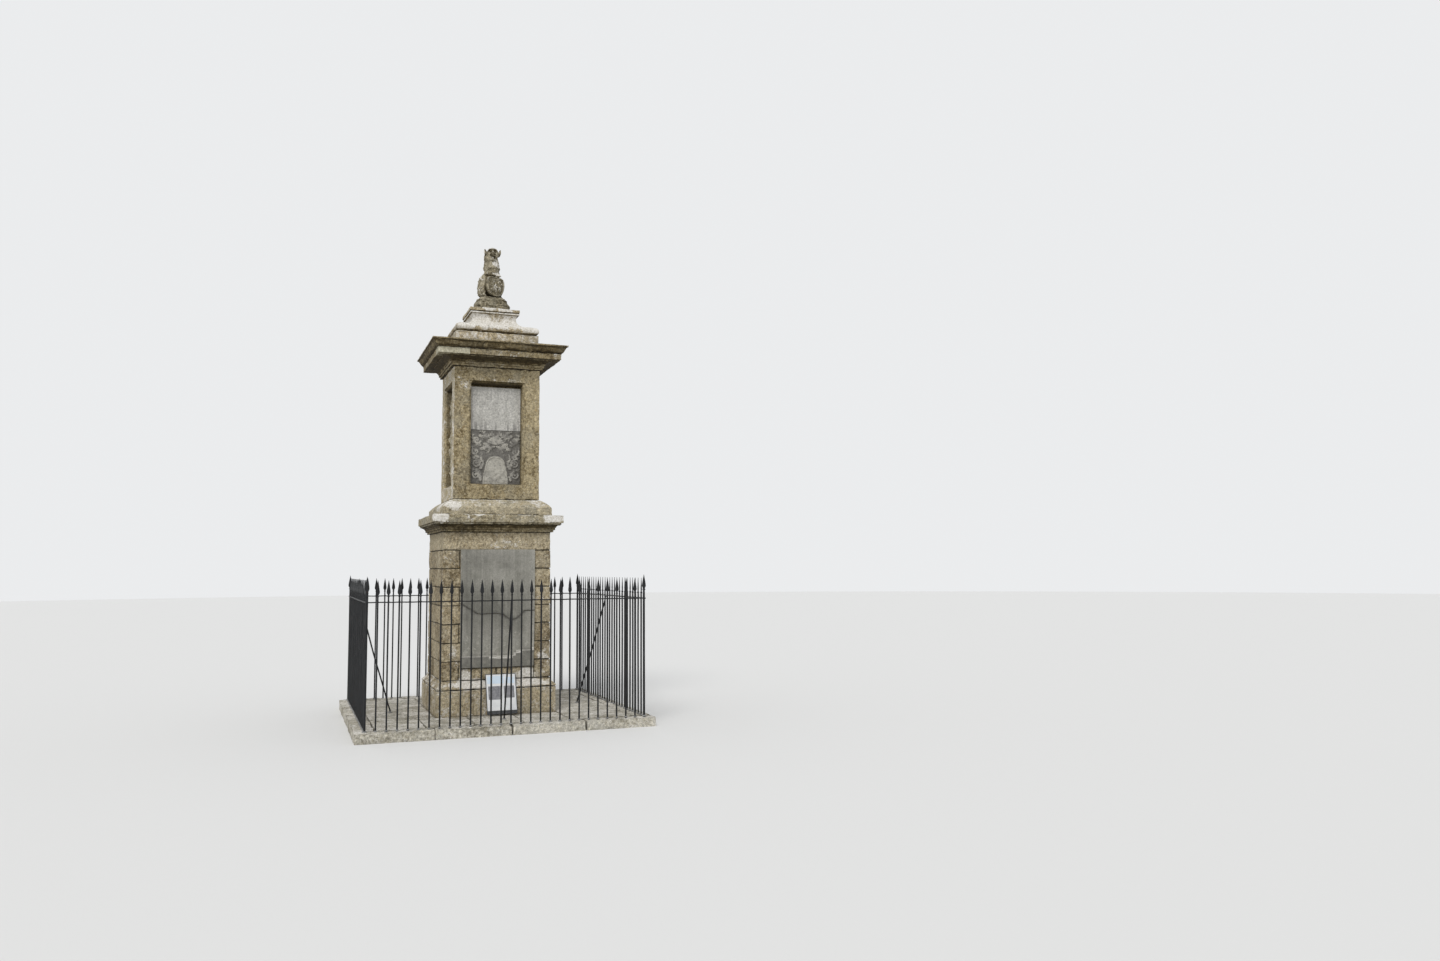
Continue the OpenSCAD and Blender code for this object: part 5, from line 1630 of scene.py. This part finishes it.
# the low ground and the back of the shield are darker, dirt together with painted shade, and its raised parts
# paler
figure_piece("griffin_shield", plate, ["shield"], {
    "pale": 0.10 + 0.6 * deep * raised_part, "stain": 0.62 * (1 - raised_part) + 0.15 * (1 - deep),
    "tone": 0.3 + 0.5 * noise(plate.v, 0.08, 546)})


def rock_mound():
    """Rough-hewn rock under the figure: a squarish base that steps and slopes in to an uneven top."""
    count, rise, squarest = 168, 0.235, 1.14
    angle = np.linspace(0, 2 * math.pi, count, endpoint=False)
    c, s = np.cos(angle), np.sin(angle)
    square = np.minimum(1 / np.maximum((np.abs(c) ** 6 + np.abs(s) ** 6) ** (1 / 6), 1e-6), squarest)
    rows = []
    for t in np.linspace(-0.004, 1.0, 30):
        radius = np.interp(t, (0.0, 0.4, 0.75, 1.0), (0.302, 0.292, 0.262, 0.204)) * square
        p = np.stack([c * radius, s * radius, np.full(count, t * rise)], 1)
        strata = np.round(t * rise / 0.042 + 0.7 * noise(p, 0.12, 552)) % 2
        cut = 0.020 * step(noise(p, (0.09, 0.09, 0.05), 554), 0.0, 0.35) + 0.012 * strata
        radius = radius - cut - 0.010 * (1 - rough(p, 0.16, 2, 550)) * 0.5 + 0.005 * rough(p, 0.035, 3, 551)
        radius = np.minimum(radius, 0.303 * square)
        rows.append(np.stack([c * radius, s * radius, np.full(count, t * rise)], 1))
    last = rows[-1]
    for t in np.linspace(0.92, 0.06, 14):
        p = last * np.array([t, t, 1.0])
        p[:, 2] = rise + 0.004 * (1 - t) + 0.006 * rough(p, 0.06, 3, 553)
        rows.append(p)
    return skin(rows, (0, 0, -0.001), (0, 0, rise + 0.010)).moved((0, 0, Z_MOUND))


rock = rock_mound()
marks = stone_marks(rock, pale=0.05, stain=0.15)
marks["pale"] *= 0.6
make_piece("rock_mound", rock, STATUE, ["mound"], marks)

# Railing, stays and their seats

PITCHES = 28
BAR_T, POST_T, PITCH_X = 0.022, 0.030, 2 * RAIL_A / PITCHES
RAIL_TOP, RAIL_T, RAIL_W = 1.93, 0.016, 0.046
TIP, NECK, BELLY, POST_EXTRA = 2.233, 2.015, 0.046, 0.05
# spear blade above its widest level: part of the way to the tip, part of the width
BLADE = ((0.22, 0.86), (0.42, 0.68), (0.62, 0.48), (0.80, 0.27), (0.93, 0.12), (1.0, 0.05))


def squared(w, d, bevel=0.18):
    """Eight points of a bevelled rectangle w wide and d deep."""
    bx, by = w / 2 * (1 - bevel * 2), d / 2 * (1 - bevel * 2)
    return np.array([(-bx, -d / 2), (bx, -d / 2), (w / 2, -by), (w / 2, by), (bx, d / 2), (-bx, d / 2),
                     (-w / 2, by), (-w / 2, -by)])


def lozenge(w, d):
    """Eight points of a flat spear blade with a ridge down each face."""
    return np.array([(-w * 0.20, -d * 0.40), (w * 0.20, -d * 0.40), (w / 2, -d * 0.10), (w / 2, d * 0.10),
                     (w * 0.20, d * 0.40), (-w * 0.20, d * 0.40), (-w / 2, d * 0.10), (-w / 2, -d * 0.10)])


def spear_bar(x, t, head, extra, rng):
    """A forged bar from the kerb up through the rail to its spear head, standing at x in the plane y = 0."""
    lean, bend = (rng.random(2) - 0.5) * 0.006, (rng.random(2) - 0.5) * 0.005
    neck, tip = NECK + extra, TIP + extra
    belly = neck + BELLY
    straight = (Z_KERB - 0.03, Z_KERB + 0.02, 0.45, 0.75, 1.05, 1.35, 1.65, RAIL_TOP - 0.03, RAIL_TOP + 0.02)
    rows = [(z, t, t, squared) for z in straight]
    # the collar under the spear head
    rows += [(neck + up, t * w, t * d, squared) for up, w, d in (
        (-0.040, 0.95, 0.95), (-0.022, 0.90, 0.90), (-0.018, 1.32, 1.32), (-0.006, 1.36, 1.36),
        (-0.001, 0.95, 0.88), (0.010, 1.05, 0.80))]
    rows += [(neck + 0.028, head * 0.82, t * 0.86, lozenge), (belly - 0.006, head * 0.98, t * 0.92, lozenge),
             (belly + 0.006, head, t * 0.92, lozenge)]
    rows += [(belly + (tip - belly) * f, head * w, t * (0.92 - 0.6 * f), lozenge) for f, w in BLADE]
    sections = []
    for z, w, d, outline in rows:
        f = (z - Z_KERB) / (tip - Z_KERB)
        dx, dy = lean * f + bend * math.sin(math.pi * min(f, 1))
        if abs(z - RAIL_TOP) < 0.05:
            dy *= 0.3
        points = outline(w, d)
        sections.append(np.stack([points[:, 0] + x + dx, points[:, 1] + dy, np.full(8, min(z, tip))], 1))
    return loft(sections)


def flat_bar(end, phase, sag):
    """The rail's flat bar along x, with bevelled edges and the small waves of forging."""
    outline = squared(RAIL_W, RAIL_T, 0.12)
    sections = []
    for x in np.linspace(-end, end, int(2 * end / 0.07) + 1):
        wave = sag * math.sin(2.1 * x + phase) + 0.0012 * math.sin(23.0 * x + 2 * phase)
        z = RAIL_TOP - RAIL_T / 2 + outline[:, 1] + wave
        sections.append(np.stack([np.full(8, x), outline[:, 0], z], 1))
    return loft(sections)


def cone_seat(x, y, r0, r1, z0, h, sides=12):
    t = np.linspace(0, 2 * math.pi, sides, endpoint=False)
    rows = []
    for r, z in ((r0, 0.0), (r0 * 0.98, 0.4 * h), (r1, h), (r1 * 0.6, h * 1.02)):
        rows.append(np.stack([x + r * np.cos(t), y + r * np.sin(t), np.full(sides, z0 + z)], 1))
    return loft(rows)


def rivet(x, y, z, r, forward=False):
    """A rivet head whose dome looks up, or forward along -y."""
    t = np.linspace(0, 2 * math.pi, 12, endpoint=False)
    rows = []
    for a in (0.0, 0.45, 0.8):
        radius, height = r * math.cos(a * math.pi / 2), r * 0.6 * math.sin(a * math.pi / 2)
        p = np.stack([radius * np.cos(t), radius * np.sin(t), np.full(12, height)], 1)
        if forward:
            p = p[:, [0, 2, 1]] * np.array([1, -1, -1])
        rows.append(p + np.array([x, y, z]))
    return loft(rows)


def iron_piece(name, shape, nodes):
    """A piece of wrought iron: rusty at its foot and where it crosses the rail."""
    foot = step(-(shape.v[:, 2] - Z_KERB), -0.16, -0.01)
    joint = step(-np.abs(shape.v[:, 2] - RAIL_TOP), -0.05, -0.01)
    marks = {**blank_marks(shape), "stain": np.clip(0.15 + 0.8 * foot + 0.5 * joint, 0, 1)}
    make_piece(name, shape, IRON, nodes, marks, split=35)


def lead_piece(name, shape):
    make_piece(name, shape, LEAD, [], blank_marks(shape), split=50)


for number, (side, turn) in enumerate(SIDES):
    corners = side in ("front", "back")
    rng = np.random.default_rng(600 + number)
    bar_places = [-RAIL_A + k * PITCH_X for k in range(1, PITCHES)]
    parts, seats = [], []
    for x in bar_places:
        parts.append(spear_bar(x, BAR_T, 0.054, 0.0, rng))
        width, height = 0.024 + 0.005 * rng.random(), 0.014 + 0.004 * rng.random()
        seats.append(cone_seat(x, 0, width, 0.017, Z_KERB - 0.008, height))
    end = RAIL_A + RAIL_W / 2 * (1 if corners else -1)
    parts.append(flat_bar(end, 1.3 * number, 0.002 if corners else 0.0015))
    if corners:
        for x in (-RAIL_A, RAIL_A):
            parts.append(spear_bar(x, POST_T, 0.062, POST_EXTRA, rng))
            seats.append(cone_seat(x, 0, 0.036, 0.024, Z_KERB - 0.008, 0.018))
    parts += [cone_seat(x, 0, 0.0185, 0.0165, RAIL_TOP - 0.002, 0.006, 8) for x in bar_places]
    railing, sockets = (joined(shapes).moved((0, -RAIL_A, 0)).turned(turn) for shapes in (parts, seats))
    iron_piece("railing_bars_" + side, railing, ["railing_" + side])
    lead_piece("lead_seats_" + side, sockets)


STAY_FOOT = -RAIL_A + 0.53 - BAR_T / 2


def stay_shape():
    """A square stay: riveted under the rail, slanting in, and turned down into its seat in the platform."""
    top_y, top_z = -RAIL_A + RAIL_W / 2, RAIL_TOP - RAIL_T
    path = [(-RAIL_A + 0.002, top_z - 0.006), (top_y - 0.004, top_z - 0.008), (top_y + 0.010, top_z - 0.022)]
    for f in np.linspace(0.05, 0.93, 11):
        sway = 0.004 * math.sin(3.1 * f * math.pi)
        path.append((top_y + (STAY_FOOT - top_y) * f + sway, top_z - 0.02 - (top_z - 0.02 - Z_KERB) * f))
    path += [(STAY_FOOT - 0.006, Z_KERB + 0.045), (STAY_FOOT, Z_KERB + 0.015), (STAY_FOOT, Z_KERB - 0.02)]
    # beaten wide and flat at the rivet: part of the width, part of the thickness
    beaten = [(1.45, 0.42), (1.45, 0.42), (1.2, 0.75)] + [(1.0, 1.0)] * (len(path) - 3)
    sections = []
    for k, ((y, z), (wide, flat)) in enumerate(zip(path, beaten)):
        a, b = np.array(path[max(k - 1, 0)]), np.array(path[min(k + 1, len(path) - 1)])
        d = (b - a) / np.linalg.norm(b - a)
        s = squared(BAR_T * wide, BAR_T * flat, 0.16)
        sections.append(np.stack([s[:, 0], y - d[1] * s[:, 1], z + d[0] * s[:, 1]], 1))
    return joined([facing_out(loft(sections)), rivet(0, -RAIL_A + 0.004, RAIL_TOP - 0.001, 0.013)])


for side, turn in SIDES:
    iron_piece("stay_bar_" + side, stay_shape().turned(turn), ["stay_" + side])
    seat = cone_seat(0, STAY_FOOT, 0.036, 0.022, Z_KERB - 0.006, 0.016, 14)
    lead_piece("stay_seat_" + side, seat.turned(turn))

# Leaning notice board

BOARD_X, BOARD_H, BOARD_T, BOARD_RUN, FRAME_W = 0.055, 0.64, 0.014, 0.15, 0.022
BOARD_HALF = 0.24
BOARD_LEAN = math.atan(BOARD_RUN / (0.39 + 0.025))
FOOT_LIFT = BOARD_T * math.sin(BOARD_LEAN) + 0.002


def on_board(v):
    """Points of an upright board, moved to where it leans on the plinth."""
    c, s = math.cos(-BOARD_LEAN), math.sin(-BOARD_LEAN)
    y, z = v[:, 1] * c - v[:, 2] * s, v[:, 1] * s + v[:, 2] * c
    return np.stack([v[:, 0] + BOARD_X, y - PLINTH_A - BOARD_RUN, z + Z_KERB], 1)


def bevel_box(x0, x1, z0, z1, front_y):
    spans = ((x0, x1), (z0 + FOOT_LIFT, z1 + FOOT_LIFT))
    xs, zs = (lines(low, high, 0.03, near=(0.002,)) for low, high in spans)
    shape = grid_box(xs, lines(front_y, 0.0, 0.05, near=()), zs)
    shape.v = shape.v + (relaxed(shape.v, *edges(shape), 2) - shape.v) * 0.8
    return shape


def frame_shape():
    """A panel in a frame with a high foot rail, with six rivets."""
    rail_z, head_z, inner_x = 3 * FRAME_W, BOARD_H - FRAME_W, BOARD_HALF - FRAME_W
    gap, rivet_in = 0.004, FRAME_W / 2
    boxes = [(-BOARD_HALF, BOARD_HALF, 0.0, rail_z, -BOARD_T),
             (-BOARD_HALF, BOARD_HALF, head_z, BOARD_H, -BOARD_T),
             (-BOARD_HALF, -inner_x, rail_z, head_z, -BOARD_T),
             (inner_x, BOARD_HALF, rail_z, head_z, -BOARD_T),
             (gap - BOARD_HALF, BOARD_HALF - gap, gap, BOARD_H - gap, -BOARD_T * 0.55)]
    parts = [bevel_box(*box) for box in boxes]
    for x in (rivet_in - BOARD_HALF, BOARD_HALF - rivet_in):
        for z in (0.05, BOARD_H / 2, BOARD_H - rivet_in):
            parts.append(rivet(x, -BOARD_T - 0.0002, z + FOOT_LIFT, 0.005, forward=True))
    return joined(parts)


board = frame_shape()
board.v = on_board(board.v)
make_piece("notice_frame", board, BOARD, ["notice_board"], blank_marks(board), split=40)

LEAF_HALF = BOARD_HALF - FRAME_W * 0.7
LEAF_FOOT, LEAF_HEAD = 3 * FRAME_W * 0.9 + FOOT_LIFT, BOARD_H - FRAME_W * 0.7 + FOOT_LIFT
leaf_spans = ((-LEAF_HALF, LEAF_HALF), (LEAF_FOOT, LEAF_HEAD))
leaf_xs, leaf_zs = (lines(low, high, 0.010, near=()) for low, high in leaf_spans)
sheet = grid_box(leaf_xs, -BOARD_T - np.array([0.0012, 0.0002]), leaf_zs)
front = sheet.v[:, 1] < -BOARD_T - 0.0008
u, w = (sheet.v[:, 0] + LEAF_HALF) / (2 * LEAF_HALF), (sheet.v[:, 2] - LEAF_FOOT) / (LEAF_HEAD - LEAF_FOOT)


def patch(u0, u1, w0, w1):
    """A soft-edged rectangle on the sheet, in parts of its width and height."""
    soft = 0.006
    across, up = (within(value, (low - soft, low + soft), (high - soft, high + soft))
                  for value, low, high in ((u, u0, u1), (w, w0, w1)))
    return across * up


blue = patch(0.04, 0.60, 0.74, 0.96) + patch(0.66, 0.96, 0.74, 0.92)
grey = patch(0.06, 0.50, 0.30, 0.68) + patch(0.58, 0.94, 0.34, 0.68)
for k in range(7):
    w0 = 0.05 + 0.030 * k
    grey = grey + 0.42 * patch(0.06, 0.48 - 0.05 * (k % 3), w0, w0 + 0.008)
from_edge = np.minimum(np.minimum(u, 1 - u), np.minimum(w, 1 - w))
buckle = 0.0016 * (1 + rough(sheet.v, 0.13, 2, 700)) * np.clip(from_edge * 9, 0, 1)
sheet.v[:, 1] -= np.where(front, buckle, buckle * 0.9)
sheet.v = on_board(sheet.v)
make_piece("notice_leaf", sheet, SHEET, ["notice_sheet"],
           {"blue": np.clip(blue, 0, 1), "grey": np.clip(grey, 0, 1)})

# CAD pieces that stay, with their finish

FINISH = {"limestone": LIMESTONE, "repair_stone": NEWSTONE, "platform": KERBSTONE, "slate": SLATE_LOW,
          "iron": IRON, "board": BOARD, "sheet": SHEET}
for node in frame["nodes"].values():
    for slot in node.material_slots:
        kinds = [kind for kind in FINISH if slot.material and slot.material.name.startswith(kind)]
        slot.material = FINISH[kinds[0]] if kinds else LIMESTONE

# Floor, background and light

FLOOR_RADIUS = 90.0


def floor():
    net = Net("floor_pale", 0.9, 0.2)
    net.finish((0.74, 0.74, 0.735))
    mesh = bpy.data.meshes.new("floor")
    bm = bmesh.new()
    bmesh.ops.create_circle(bm, cap_ends=True, segments=96, radius=FLOOR_RADIUS)
    bm.to_mesh(mesh)
    bm.free()
    mesh.materials.append(net.material)
    obj = add_object("floor", mesh)


def world():
    """A soft sky that lights, and a plain pale backdrop that the camera and reflections see."""
    w = bpy.data.worlds.new("studio")
    bpy.context.scene.world = w
    w.use_nodes = True
    tree = w.node_tree
    light, shown = tree.nodes["Background"], tree.nodes.new("ShaderNodeBackground")
    for background, colour, strength in ((light, (0.97, 0.985, 1.0), 0.68), (shown, (0.83, 0.84, 0.85), 1.0)):
        background.inputs["Color"].default_value = (*colour, 1)
        background.inputs["Strength"].default_value = strength
    ray = tree.nodes.new("ShaderNodeLightPath")
    either = tree.nodes.new("ShaderNodeMath")
    either.operation = "MAXIMUM"
    blend = tree.nodes.new("ShaderNodeMixShader")
    for out, into in ((ray.outputs["Is Camera Ray"], either.inputs[0]),
                      (ray.outputs["Is Glossy Ray"], either.inputs[1]),
                      (either.outputs[0], blend.inputs[0]), (light.outputs[0], blend.inputs[1]),
                      (shown.outputs[0], blend.inputs[2]),
                      (blend.outputs[0], tree.nodes["World Output"].inputs["Surface"])):
        tree.links.new(out, into)


def soft_sun(name, direction, strength, angle):
    data = bpy.data.lights.new(name, "SUN")
    data.energy = strength
    data.angle = math.radians(angle)
    data.color = (1.0, 0.985, 0.96)
    add_object(name, data).rotation_euler = (-Vector(direction)).to_track_quat("-Z", "Y").to_euler()


floor()
world()
soft_sun("key", (-0.50, -0.74, 0.95), 1.60, 24)
bpy.context.scene.view_settings.view_transform = "Standard"
